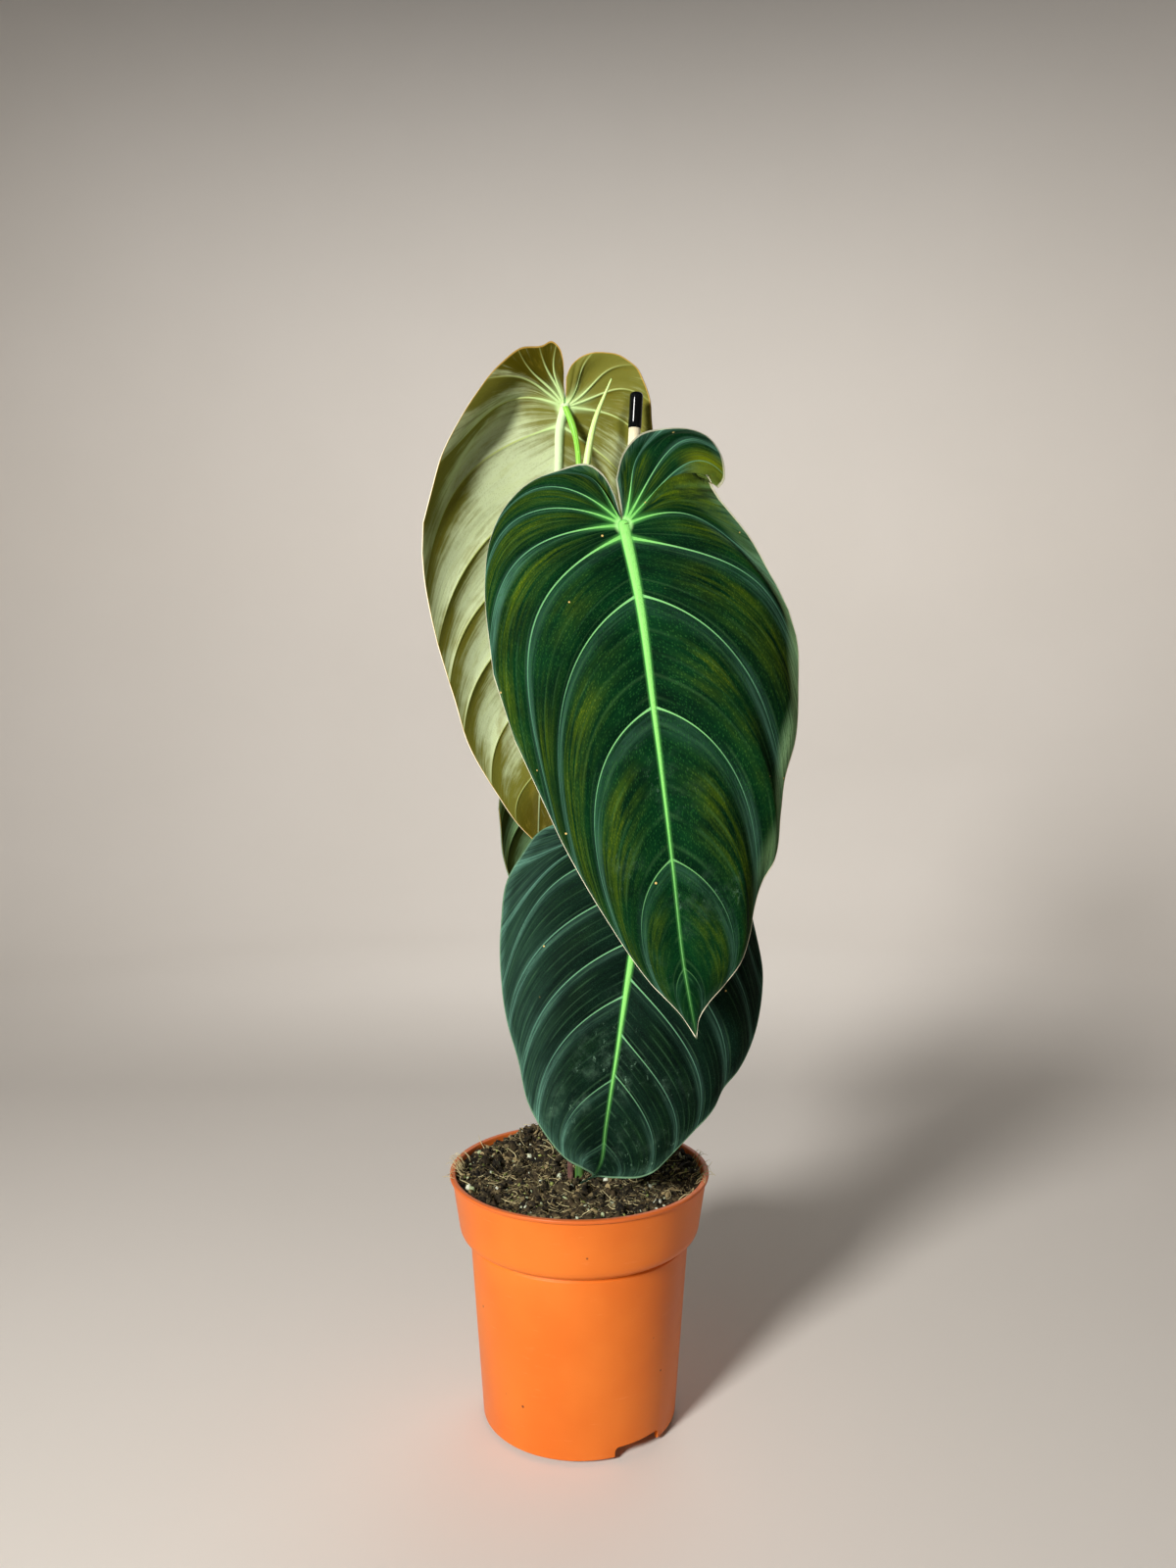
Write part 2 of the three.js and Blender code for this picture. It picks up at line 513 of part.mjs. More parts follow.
function potGeometry() {
  const body = turned([
    [0, 0], [CHANNEL_INNER - CHANNEL_SLOPE, 0], [CHANNEL_INNER, CHANNEL_HEIGHT],
    [CHANNEL_OUTER, CHANNEL_HEIGHT], [CHANNEL_OUTER + 0.6, 0], [BODY_FOOT_RADIUS - EDGE_ROUND, 0],
    [BODY_FOOT_RADIUS, EDGE_ROUND], [BODY_TOP_RADIUS, BODY_TOP_Z],
    [BODY_TOP_RADIUS + 1.4, BODY_TOP_Z + 2.4], [COLLAR_FOOT_RADIUS - 1.6, COLLAR_FOOT_Z - 2],
    [COLLAR_FOOT_RADIUS, COLLAR_FOOT_Z], [COLLAR_TOP_RADIUS, POT_HEIGHT - LIP_HEIGHT],
    [RIM_RADIUS - 0.4, POT_HEIGHT - LIP_HEIGHT + 0.5], [RIM_RADIUS, POT_HEIGHT - 2 * EDGE_ROUND],
    [RIM_RADIUS, POT_HEIGHT - EDGE_ROUND], [RIM_RADIUS - EDGE_ROUND, POT_HEIGHT],
    [INSIDE_COLLAR_TOP + EDGE_ROUND, POT_HEIGHT], [INSIDE_COLLAR_TOP, POT_HEIGHT - EDGE_ROUND],
    [INSIDE_COLLAR_FOOT, COLLAR_FOOT_Z], [INSIDE_BODY_TOP, BODY_TOP_Z],
    [INSIDE_BODY_FOOT, CHANNEL_ROOF + 1], [INSIDE_BODY_FOOT - 1, CHANNEL_ROOF],
    [CHANNEL_INNER - 1, CHANNEL_ROOF], [CHANNEL_INNER - 1 - CHANNEL_SLOPE, WALL], [0, WALL],
  ], POT_SEGMENTS);
  const cuts = [];
  for (let i = 0; i < DRAIN_HOLES; i++) {
    const hole = new THREE.CylinderGeometry(DRAIN_RADIUS, DRAIN_RADIUS, 4 * WALL, 20).rotateX(Math.PI / 2);
    const radius = (CHANNEL_INNER + CHANNEL_OUTER) / 2;
    const turn = (2 * Math.PI * (i + 0.5)) / DRAIN_HOLES;
    cuts.push(hole.translate(radius * Math.cos(turn), radius * Math.sin(turn), CHANNEL_HEIGHT));
  }
  for (const degrees of NOTCH_ANGLES) {
    const side = NOTCH_WIDTH / 2;
    const arch = new THREE.Shape();
    arch.moveTo(-side, -1);
    arch.lineTo(side, -1);
    arch.lineTo(side, NOTCH_HEIGHT - NOTCH_ROUND);
    arch.quadraticCurveTo(side, NOTCH_HEIGHT, side - NOTCH_ROUND, NOTCH_HEIGHT);
    arch.lineTo(NOTCH_ROUND - side, NOTCH_HEIGHT);
    arch.quadraticCurveTo(-side, NOTCH_HEIGHT, -side, NOTCH_HEIGHT - NOTCH_ROUND);
    const notch = new THREE.ExtrudeGeometry(arch, { depth: 12, bevelEnabled: false, curveSegments: 4 });
    notch.rotateX(Math.PI / 2).translate(0, BODY_FOOT_RADIUS + 3, 0);
    cuts.push(notch.rotateZ(THREE.MathUtils.degToRad(degrees - 90)));
  }
  return carve(body, cuts);
}

// Height of the soil at a polar place: waves of clods, and a heap at the back left
function soilHeight(radius, turn) {
  const clods = 0.7 * Math.sin(3 * turn + 0.09 * radius) + 0.5 * Math.sin(7 * turn - 0.21 * radius);
  const crumbs = 0.4 * Math.sin(0.45 * radius + 2 * turn) + 0.35 * Math.sin(11 * turn + 0.3 * radius);
  const level = (clods + crumbs) * clamp01(radius / LEVEL_RADIUS);
  const inward = (radius - HEAP.radius) / HEAP.width;
  const aside = (turn - HEAP.turn) / HEAP.arc;
  return SOIL_TOP + level + HEAP.height * Math.exp(-(inward ** 2) - aside ** 2);
}

// The soil fills the pot's inside, with a gap to its wall and floor
function soilGeometry(cuts) {
  const wall = [
    [CHANNEL_INNER - 1 - CHANNEL_SLOPE - GAP, WALL], [CHANNEL_INNER - 1 - GAP, CHANNEL_ROOF],
    [INSIDE_BODY_FOOT - 1.2, CHANNEL_ROOF], [INSIDE_BODY_FOOT - 0.1, CHANNEL_ROOF + 1],
    [INSIDE_BODY_TOP, BODY_TOP_Z - 0.2], [INSIDE_COLLAR_FOOT, COLLAR_FOOT_Z],
  ];
  const rings = wall.map(([radius, height]) => ({ radius: radius - GAP, height: () => height + GAP }));
  for (const radius of SOIL_RINGS) rings.push({ radius, height: (turn) => soilHeight(radius, turn) });
  const points = [new THREE.Vector3(0, 0, WALL + GAP)];
  for (const ring of rings) {
    for (let k = 0; k < SOIL_SEGMENTS; k++) {
      const turn = (2 * Math.PI * k) / SOIL_SEGMENTS;
      const [x, y] = [ring.radius * Math.cos(turn), ring.radius * Math.sin(turn)];
      points.push(new THREE.Vector3(x, y, ring.height(turn)));
    }
  }
  const top = points.push(new THREE.Vector3(0, 0, SOIL_TOP)) - 1;
  const faces = [];
  for (let k = 0; k < SOIL_SEGMENTS; k++) {
    const next = (k + 1) % SOIL_SEGMENTS;
    faces.push([0, 1 + next, 1 + k]);
    for (let i = 0; i + 1 < rings.length; i++) {
      const low = 1 + i * SOIL_SEGMENTS;
      const high = low + SOIL_SEGMENTS;
      faces.push([low + k, low + next, high + next], [low + k, high + next, high + k]);
    }
    const last = 1 + (rings.length - 1) * SOIL_SEGMENTS;
    faces.push([last + k, last + next, top]);
  }
  return carve(indexed(points, faces), cuts);
}

// Stake, drawn from its foot along its own axis
const STAKE_AXIS = STAKE_TOP.clone().sub(STAKE_FOOT);
const STAKE_LENGTH = STAKE_AXIS.length();
const STICK_END = STAKE_LENGTH - CAP_LENGTH;

function standOnStake(mesh) {
  mesh.position.copy(STAKE_FOOT);
  mesh.quaternion.setFromUnitVectors(new THREE.Vector3(0, 0, 1), STAKE_AXIS.clone().normalize());
  return mesh;
}

const SPIGOT_END = STICK_END + SPIGOT_LENGTH;

function stickGeometry(extra = 0) {
  return turned([
    [0, -extra], [STAKE_RADIUS + extra, -extra], [STAKE_RADIUS + extra, STICK_END],
    [SPIGOT_RADIUS, STICK_END], [SPIGOT_RADIUS, SPIGOT_END], [0, SPIGOT_END],
  ], STAKE_SEGMENTS);
}

function capGeometry() {
  const bore = SPIGOT_RADIUS + GAP;
  return turned([
    [0, SPIGOT_END + GAP], [bore, SPIGOT_END + GAP], [bore, STICK_END + GAP],
    [CAP_RADIUS, STICK_END + GAP], [CAP_RADIUS, STAKE_LENGTH - 1.6],
    [CAP_RADIUS * 0.86, STAKE_LENGTH - 0.6], [CAP_RADIUS * 0.5, STAKE_LENGTH - 0.1], [0, STAKE_LENGTH],
  ], STAKE_SEGMENTS);
}

// Materials, from the photograph
const finish = (color, roughness) => new THREE.MeshStandardMaterial({ color, roughness, metalness: 0 });
const POT_PLASTIC = finish(0xd96f33, 0.5);
const PEAT = finish(0x3f342a, 0.95);
const UPPER_SIDE = finish(0x1f4a24, 0.55);
const UNDER_SIDE = finish(0x8f9357, 0.6);
const STEM_GREEN = finish(0x8fc060, 0.45);
const SPEAR_GREEN = finish(0xa9d878, 0.45);
const SHEATH_BROWN = finish(0x5b3a3a, 0.8);
const WOOD = finish(0xe8e0c8, 0.7);
const CAP_BLACK = finish(0x111111, 0.2);

function named(name, geometry, material) {
  const mesh = new THREE.Mesh(geometry, material);
  mesh.name = name;
  return mesh;
}

const plant = new THREE.Group();
plant.add(named("pot", potGeometry(), POT_PLASTIC));

const nearStem = () => rodGeometry(STEM, STEM_GRID, GAP);
const nearSheath = () => rodGeometry(DRIED_SHEATH, SHEATH_GRID, GAP);
const nearSpear = () => rodGeometry(SPEAR, PETIOLE_GRID, GAP);
const nearStake = () => {
  const hole = standOnStake(new THREE.Mesh(stickGeometry(GAP)));
  hole.updateMatrix();
  return hole.geometry.applyMatrix4(hole.matrix);
};
plant.add(named("soil", soilGeometry([nearStem(), nearSheath(), nearStake()]), PEAT));

plant.add(standOnStake(named("stake", stickGeometry(), WOOD)));
plant.add(standOnStake(named("stake_cap", capGeometry(), CAP_BLACK)));

plant.add(named("stem", rodGeometry(STEM, STEM_GRID), STEM_GREEN));
const sheath = carve(rodGeometry(DRIED_SHEATH, SHEATH_GRID), [nearStem()]);
plant.add(named("dried_sheath", sheath, SHEATH_BROWN));
const spear = carve(rodGeometry(SPEAR, PETIOLE_GRID), [nearStem()]);
plant.add(named("new_leaf_spear", spear, SPEAR_GREEN));

for (const [place, leaf] of Object.entries(LEAVES)) {
  const blade = named(`leaf_${place}`, bladeGeometry(leaf), leaf.face[1] < 0 ? UPPER_SIDE : UNDER_SIDE);
  blade.position.fromArray(leaf.attach);
  plant.add(blade);
  const behind = vector(leaf.face).normalize().negate();
  const nearBlade = [0, GAP].map((shift) => {
    const spot = vector(leaf.attach).addScaledVector(behind, shift);
    return bladeGeometry(leaf, shift).translate(...spot.toArray());
  });
  const seat = vector(leaf.attach).addScaledVector(behind, PETIOLE_SEAT);
  const route = [...PETIOLES[place], [...seat.toArray(), PETIOLE_HEAD_RADIUS]];
  const petiole = carve(rodGeometry(route, PETIOLE_GRID), [nearStem(), nearSpear(), ...nearBlade]);
  plant.add(named(`petiole_${place}`, petiole, STEM_GREEN));
}

export default plant;
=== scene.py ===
"""Potted Philodendron melanochrysum, dressed for rendering.

Lengths are in millimetres in the tables and become metres where a mesh is made. +Z is up and the front of
the plant faces -Y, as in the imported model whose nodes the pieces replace.
"""

import math
from types import SimpleNamespace

import bmesh
import bpy
import numpy as np
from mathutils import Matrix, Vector


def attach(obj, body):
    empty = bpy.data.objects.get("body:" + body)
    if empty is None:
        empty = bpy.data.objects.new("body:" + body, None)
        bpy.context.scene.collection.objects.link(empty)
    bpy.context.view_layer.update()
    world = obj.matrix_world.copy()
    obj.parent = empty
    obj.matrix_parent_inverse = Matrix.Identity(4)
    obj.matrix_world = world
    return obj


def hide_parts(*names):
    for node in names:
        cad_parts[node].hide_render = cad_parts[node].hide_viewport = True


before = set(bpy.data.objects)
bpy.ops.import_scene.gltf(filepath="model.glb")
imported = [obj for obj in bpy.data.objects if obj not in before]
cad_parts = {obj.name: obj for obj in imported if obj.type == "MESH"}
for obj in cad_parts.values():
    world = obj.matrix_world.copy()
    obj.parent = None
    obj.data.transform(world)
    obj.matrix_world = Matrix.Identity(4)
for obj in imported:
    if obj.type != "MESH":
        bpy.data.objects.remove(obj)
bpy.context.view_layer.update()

MM = 0.001
SEED = 11
CIRCLE = 2 * math.pi

# Camera, solved from the pot's rim, collar and base in the photograph
CAMERA_PLACE = (4, -539, 320)
CAMERA_PITCH = 87
FOCAL_PIXELS = 1202
PHOTO_HEIGHT = 1600
SENSOR = 36

# Pot
POT_HEIGHT = 113
RIM_RADIUS = 60
COLLAR_TOP_RADIUS = 58.3
COLLAR_FOOT_RADIUS = 55.4
COLLAR_FOOT_Z = 88
BODY_TOP_RADIUS = 50.5
BODY_TOP_Z = 82
BODY_FOOT_RADIUS = 44.8
WALL = 1.5
RIM_WALL = 0.8
GROOVE = 0.8
GROOVE_HEIGHT = 0.9
SHOULDER_OUT = 1.6
SHOULDER_HEIGHT = 2.2
COLLAR_TUCK = 0.9
COLLAR_TUCK_HEIGHT = 2
LIP_HEIGHT = 1.6
LIP_FOOT_Z = POT_HEIGHT - LIP_HEIGHT
LIP_STEP = 0.3
LIP_FLARE = 0.6
CHANNEL_INNER = 31
CHANNEL_OUTER = 42.2
CHANNEL_HEIGHT = 5
CHANNEL_SLOPE = 2.5
CHANNEL_LEAN = 0.6
NOTCH_HEIGHT = 4.6
NOTCH_WIDTH = 24
NOTCH_ROUND = 2
NOTCH_ANGLES = (-54, 126)
DRAIN_HOLES = 8
DRAIN_RADIUS = 3.5
DRAIN_CUT = (2, 9)
POT_SEGMENTS = 192

# Soil
SOIL_TOP = 108
SOIL_RADIUS = 56.5
SOIL_BANK = 2.6
BANK_RANGE = (34, 54)
EDGE_GAP = 0.6
GRAIN_GAP = 1.5
FIBRE_GAP = 2.5
SOIL_FOOT = 96
SOIL_RINGS = 110
SOIL_SEGMENTS = 300
LEVEL_RADIUS = 12
HEAP = {"radius": 49, "width": 9, "turn": 2.05, "arc": 0.36, "height": 6}
HAIRS = 34
HAIR_RADIUS = 0.2

# Stake
STAKE_FOOT = np.array([1.5, 10, 25])
STAKE_TOP = np.array([26, 2, 469])
STAKE_RADIUS = 2.65
CAP_RADIUS = 3
CAP_LENGTH = 16.3
CAP_ROUND = 1.7
CAP_BORE_DEPTH = 0.4
CAP_CLEARANCE = 0.1
STICK_IN_CAP = 0.8
CAP_SHORTENING = 0.3

# Studio
FLOOR_RADIUS = 1200
FLOOR_DROP = 0.02
FLOOR_DIP = 2
FLOOR_THICKNESS = 20
COVE_RADIUS = 700
COVE_STEPS = 12
WALL_TOP = 2400
WALL_THICKNESS = 50
# Name, place and target in metres, size in metres, power in watts, colour, spread in degrees
LIGHTS = (
    ("key", (-0.7, -1.1, 0.74), (0, 0, 0.28), 0.3, 10.6, (1, 0.98, 0.95), 110),
    ("fill", (1, -1.1, 0.6), (0, 0, 0.28), 1, 0.12, (0.95, 0.98, 1), 180),
    ("back", (0.3, 1.1, 1.1), (0, 0, 0.3), 0.9, 3, (1, 1, 1), 180),
    ("backdrop", (0, 0.8, 1.1), (0, 2.2, 0.7), 1.4, 9, (1, 0.99, 0.97), 180),
)
SKY = (0.9, 0.93, 1, 1)
SKY_STRENGTH = 0.015

# Blades. The REACH values shape the veins' arcs, the PLEAT values the swelling between veins.
BLADE_THICKNESS = 0.55
MARGIN_THINNING = 0.6
MARGIN_BEAD = 0.12
RIB_ABOVE = 0.5
RIB_BELOW = 0.85
VEIN_ABOVE = 0.12
VEIN_BELOW = 0.3
VEIN_WIDTH = 0.2
VEIN_FOOT_WIDTH = 0.5
VEIN_FOOT = 0.035
VEIN_TAPER = 0.14
VEIN_TIP_FADE = 0.45
HUB_WIDTH = 0.3
HUB_RADIUS = 9
WAVE_LENGTH = 26
WAVE_HEIGHT = 0.35
REACH = 0.33
BOWED_REACH = 0.04
BASAL_STRETCH = 0.12
RIB_WINDOW = 0.02
MARGIN_WINDOW = 0.03
PLEAT_RISE = 0.25
PLEAT_CREST = 0.6
PLEAT_FALL = 0.72
PLEAT_TIP = 0.4
PLEAT_PER_ROOM = 0.11
CROWDING = 0.6
LINE_CROWDING = 0.72
# What a blade's points know: the place between the veins (2.3 is 0.3 of the way from vein 2 to vein 3), the
# share across from the midrib, the share along it, the distances in mm from vein, midrib, margin and
# petiole, and the half, 0 for left and 7 for right
HALF_VALUES = {"left": 0, "right": 7}
BLADE_FIELDS = ("place", "across", "share", "vein", "rib", "edge", "hub", "half")

# attach is where the petiole meets the blade, and face is the way its upper side looks. bulge says how far
# the blade arches between midrib and margin as a share of that way, pleat how far it swells between veins
# in mm and reach how widely the basal veins bend. rib holds the midrib's half width at its foot and at its
# tip in mm and the power by which it narrows. The lines are given relative to attach: midrib runs from
# there to the drip tip, left and right are the two margins from the sinus round the lobe to the tip, and
# each vein row holds (start along the midrib, end along the margin, angle leaving the midrib, angle
# meeting the margin), with the angles in degrees. meets gives the last angle between the veins, round the
# hooked lobe.
LEAVES = {
    "front_upper": {
        "attach": (18.5, -55, 400), "face": (0, -1, 0.1), "bulge": 0.045, "pleat": 2.2, "reach": 0.12,
        "rib": (2.3, 0.14, 1.9),
        "midrib": [
            (0, 0, 0), (6, -7, -30.5), (11.5, -17, -75), (18.5, -25, -135), (23, -27, -175),
            (28.5, -25, -205),
        ],
        "left": [
            (-3.5, 5, 13), (-8.5, 11, 23), (-15.5, 17, 28.5), (-27, 19, 26), (-38, 19, 21.5), (-49, 15, 10),
            (-55.5, 11, -6), (-57, 7, -24.5), (-55, 3, -47), (-50.5, -1, -72), (-44, -4, -88),
            (-35, -7, -107), (-23.5, -11, -131), (-7.5, -16, -158), (10.5, -21, -183.5), (23.5, -24, -197),
            (28.5, -25, -205),
        ],
        "right": [
            (-3, 5, 19.5), (1, 11, 33), (7, 13, 39.5), (18, 15, 42.5), (28, 13, 41.5), (35, 9, 37.5),
            (39.5, 5, 30.5), (41, 1, 22), (40.5, -1, 17.5), (38, -2, 14.5), (36, -2, 16), (34, -1, 20),
            (36, 0, 15.5), (39.5, 1, 10), (45, 3, 4), (53, 5, -5.5), (60.5, 7, -18), (68, 7, -32),
            (72, 6, -47), (72, 3, -65), (70, -1, -88.5), (65.5, -5, -102.5), (63.5, -8, -116),
            (59.5, -12, -137.5), (55.5, -13, -144), (52, -15, -154.5), (50, -17, -165), (46, -20, -175.5),
            (39.5, -22, -184), (32.5, -24, -191.5), (29, -25, -197.5), (28.5, -25, -205),
        ],
        "veins_left": [
            (0, 0, 176, 60), (0, 0.129, 162, 20), (0, 0.239, 147, 12), (0, 0.314, 127, 8),
            (0, 0.409, 96, 12), (0.02, 0.678, 74, 15), (0.144, 0.733, 67, 16), (0.366, 0.855, 64, 15),
            (0.655, 0.933, 56, 14), (0.86, 0.975, 45, 12), (1, 1, 40, 20),
        ],
        "veins_right": [
            (0, 0, 170, 60), (0, 0.097, 155, 38), (0, 0.19, 138, 30), (0, 0.225, 122, 60),
            (0, 0.41, 102, 26), (0.025, 0.53, 65, 16), (0.144, 0.69, 65, 16), (0.366, 0.82, 66, 16),
            (0.655, 0.925, 61, 15), (0.86, 0.97, 48, 15), (1, 1, 40, 20),
        ],
        "meets_right": [(3.08, 96), (3.135, 96), (3.2, 94), (3.243, 84), (3.3, 52), (3.46, 36)],
    },
    "back_upper": {
        "attach": (-6.5, 20, 467), "face": (0, 1, 0.1), "bulge": 0.04, "pleat": 2.4, "reach": 0.12,
        "rib": (2.2, 0.3, 1.6),
        "midrib": [
            (0, 0, 0), (-1.5, 1.5, -4), (-3.5, 7, -27), (-7, 16, -82), (-11, 21, -148.5), (-13.5, 20, -187),
            (-14, 16, -207),
        ],
        "left": [
            (-1, -5, 13), (-1, -8, 20), (-3, -10, 25), (-6, -11, 27), (-10.5, -11, 25), (-19.5, -13, 23.5),
            (-29.5, -16, 15.5), (-40, -19, 1.5), (-47, -20, -9.5), (-55, -18, -23.5), (-61, -14, -40.5),
            (-66, -10, -57.5), (-66.5, -8, -68.5), (-65.5, -4, -84.5), (-61, 1, -109), (-53.5, 6, -136),
            (-47, 10, -158.5), (-34.5, 14, -181), (-23, 16, -198), (-14, 16, -207),
        ],
        "right": [
            (0.5, -4, 12.5), (3, -7, 17.5), (7, -8.5, 20.5), (11.5, -9.5, 22), (20, -10.5, 22),
            (24.5, -11, 21), (29.5, -11, 18), (33.5, -11, 14.5), (36, -11, 9.5), (39, -9, 1.5),
            (40, -7, -8.5), (43, -4, -30), (45, -2, -52), (44.5, 2, -79), (40.5, 6, -106.5),
            (33, 10, -134.5), (22.5, 14, -160.5), (10.5, 17, -181), (-2.5, 18, -196.5), (-14, 16, -207),
        ],
        "veins_left": [
            (0, 0, 178, 60), (0, 0.05, 147, 75), (0, 0.08, 142, 85), (0, 0.115, 126, 90),
            (0, 0.185, 107, 44), (0, 0.335, 92, 30), (0.04, 0.525, 62, 18), (0.18, 0.625, 61, 26),
            (0.31, 0.69, 58, 24), (0.455, 0.772, 60, 24), (0.626, 0.875, 54, 26), (0.82, 0.95, 45, 25),
            (1, 1, 40, 25),
        ],
        "veins_right": [
            (0, 0, 178, 60), (0, 0.063, 165, 34), (0, 0.135, 139, 43), (0, 0.2, 125, 40),
            (0, 0.28, 106, 36), (0.04, 0.4, 68, 37), (0.18, 0.565, 62, 28), (0.31, 0.665, 58, 26),
            (0.455, 0.765, 58, 24), (0.626, 0.872, 54, 25), (0.82, 0.95, 45, 25), (1, 1, 40, 25),
        ],
    },
    "front_lower": {
        "attach": (30, -24, 263.5), "face": (0, -1, 0.15), "bulge": 0.04, "pleat": 1.8, "reach": 0.08,
        "rib": (2.3, 0.1, 1.6),
        "midrib": [
            (0, 0, 0), (-3, -7, -21), (-8, -15, -47.5), (-14, -21, -86), (-18.5, -22, -115.5),
            (-20.5, -19, -132), (-23, -15, -138.5), (-29.5, -6, -146.5),
        ],
        "left": [
            (-5, 6, 9), (-13, 12, 13), (-24, 14, 15), (-32.5, 14, 13.5), (-41.5, 13, 10.5),
            (-47.5, 12, 7.5), (-55, 10, -2), (-62, 7, -14), (-64.5, 4, -32), (-64.5, 0, -53),
            (-61.5, -5, -73.5), (-56.5, -9, -89.5), (-51, -14, -109.5), (-43.5, -17, -121.5),
            (-34.5, -18, -131.5), (-28, -17, -135.5), (-24.5, -15, -138.5), (-29.5, -6, -146.5),
        ],
        "right": [
            (3.5, 6, 10), (13.5, 12, 13), (25, 14, 9), (36, 14, -1.5), (44.5, 12, -19.5), (49.5, 10, -39.5),
            (52, 7, -55.5), (51, 4, -67.5), (45.5, -2, -86), (39.5, -6, -96), (32.5, -10, -103),
            (28.5, -13, -110), (17, -17, -121.5), (7.5, -20, -130.5), (1, -21, -136), (-4, -20.5, -138),
            (-10.5, -19, -139), (-16.5, -17, -139.5), (-21.5, -14.5, -140), (-29.5, -6, -146.5),
        ],
        "veins_left": [
            (0, 0, 175, 60), (0, 0.1, 138, 46), (0, 0.19, 125, 34), (0, 0.284, 119, 46),
            (0, 0.421, 100, 35), (0, 0.53, 76, 24), (0.1, 0.605, 62, 24), (0.25, 0.7, 56, 24),
            (0.4, 0.79, 57, 33), (0.625, 0.875, 50, 36), (0.8, 0.915, 46, 45), (0.914, 0.943, 45, 40),
            (1, 1, 40, 20),
        ],
        "veins_right": [
            (0, 0, 170, 60), (0, 0.1, 142, 34), (0, 0.2, 130, 32), (0, 0.32, 117, 14), (0, 0.44, 94, 30),
            (0.1, 0.54, 64, 28), (0.22, 0.64, 58, 28), (0.35, 0.73, 51, 28), (0.5, 0.79, 46, 28),
            (0.61, 0.85, 50, 40), (0.8, 0.905, 50, 50), (0.914, 0.944, 45, 40), (1, 1, 40, 20),
        ],
    },
    "back_lower": {
        "attach": (5, 58, 316), "face": (0, 1, 0.1), "bulge": 0.04, "pleat": 1.8, "reach": 0.1,
        "rib": (1.8, 0.3, 1.6),
        "midrib": [(0, 0, 0), (-1, 8, -27.5), (-2.5, 12, -58.5), (-4.5, 14, -100), (-6, 10, -135)],
        "left": [
            (-2, 0, 11.5), (-7, -1, 18.5), (-17, -3, 20), (-28, -5, 15), (-37.5, -7, 3.5), (-43, -8, -14.5),
            (-46, -8, -35.5), (-45, -7, -49), (-44, -5, -63), (-41, -3, -74.5), (-34.5, 0, -90),
            (-23.5, 4, -111), (-13.5, 8, -126), (-6, 10, -135),
        ],
        "right": [
            (2, 0, 11.5), (7, -1, 18.5), (16.5, -3, 20), (27.5, -5, 15), (36, -7, 3.5), (41, -8, -14.5),
            (43, -8, -35.5), (42.5, -7, -49), (40, -5, -63), (37, -3, -74.5), (29, 0, -90), (15, 4, -111),
            (2, 8, -126), (-6, 10, -135),
        ],
        "veins_left": [
            (0, 0, 176, 60), (0, 0.12, 145, 29), (0, 0.23, 134, 34), (0, 0.33, 115, 14),
            (0.02, 0.5, 76, 20), (0.18, 0.62, 64, 16), (0.38, 0.74, 60, 14), (0.6, 0.86, 54, 14),
            (0.82, 0.94, 46, 18), (1, 1, 40, 20),
        ],
    },
}
LEAVES["back_lower"]["veins_right"] = LEAVES["back_lower"]["veins_left"]
# Spacing of the lines of a blade's grid in mm, steps between two basal veins and steps along a line
BLADE_DETAIL = {
    "front_upper": {"step": 1.1, "basal": 16, "across": 64},
    "back_upper": {"step": 1.3, "basal": 12, "across": 56},
    "front_lower": {"step": 1.1, "basal": 14, "across": 60},
    "back_lower": {"step": 1.6, "basal": 12, "across": 44},
}

# Stem and what grows from it, as (x, y, z, radius)
STEM = [
    (0, 0, 74, 1.6), (0, 0, 110, 2.1), (1.5, 0.6, 150, 2.1), (1.8, 0.4, 165, 2.6), (1, 0, 190, 2),
    (0.2, 0.6, 212, 2.5), (0.6, 1.4, 245, 1.9), (1.2, 1.2, 283, 2.4), (0.4, 1.8, 318, 1.8),
    (-0.5, 2.4, 348, 2.2), (-0.4, 2.6, 354, 1.9),
]
STEM_JOINTS = (0.327, 0.493, 0.746, 0.975)
PETIOLES = {
    "front_upper": [(1.2, 1.2, 281, 2), (3.2, -6, 303, 1.6), (8.5, -22, 343, 1.4), (14.5, -40, 382, 1.3)],
    "back_upper": [
        (-0.4, 2.4, 336, 1.9), (-4, 6.4, 354, 1.6), (-3.8, 8.2, 376, 1.4), (-1.8, 10, 412, 1.3),
        (-0.1, 12, 437, 1.3), (-2.6, 16.5, 456, 1.3),
    ],
    "front_lower": [(1.8, 0.4, 163, 2), (5.5, -4.5, 186, 1.6), (12, -8, 216, 1.4), (22, -13, 248, 1.3)],
    "back_lower": [(0.2, 0.6, 210, 1.9), (-2.6, 9, 229, 1.5), (0, 26, 249, 1.3), (4, 42, 277, 1.3)],
}
PETIOLE_HEAD_RADIUS = 1.35
PETIOLE_HEAD_DEPTH = 1.3
SPEAR = [
    (-0.4, 2.6, 354, 1.9), (1.4, 3.6, 395, 1.9), (3.3, 4, 437, 1.7), (7, 3.4, 456, 1.25),
    (14.6, 2, 475, 0.35),
]
DRIED_SHEATH = [
    (-3.9, -0.6, 100, 1.1), (-4.1, -0.8, 108, 1.3), (-4.3, -0.9, 114, 1.1), (-4.9, -1, 119, 0.6),
]


def srgb(red, green, blue):
    """A colour given as 8-bit sRGB, as the linear RGBA that shaders take."""
    def linear(value):
        value = value / 255
        return value / 12.92 if value <= 0.04045 else ((value + 0.055) / 1.055) ** 2.4
    return (linear(red), linear(green), linear(blue), 1)


def unit(vectors):
    vectors = np.asarray(vectors, float)
    length = np.linalg.norm(vectors, axis=-1, keepdims=True)
    return vectors / np.maximum(length, 1e-9)


def smoothstep(low, high, values):
    t = np.clip((values - low) / (high - low), 0, 1)
    return t * t * (3 - 2 * t)


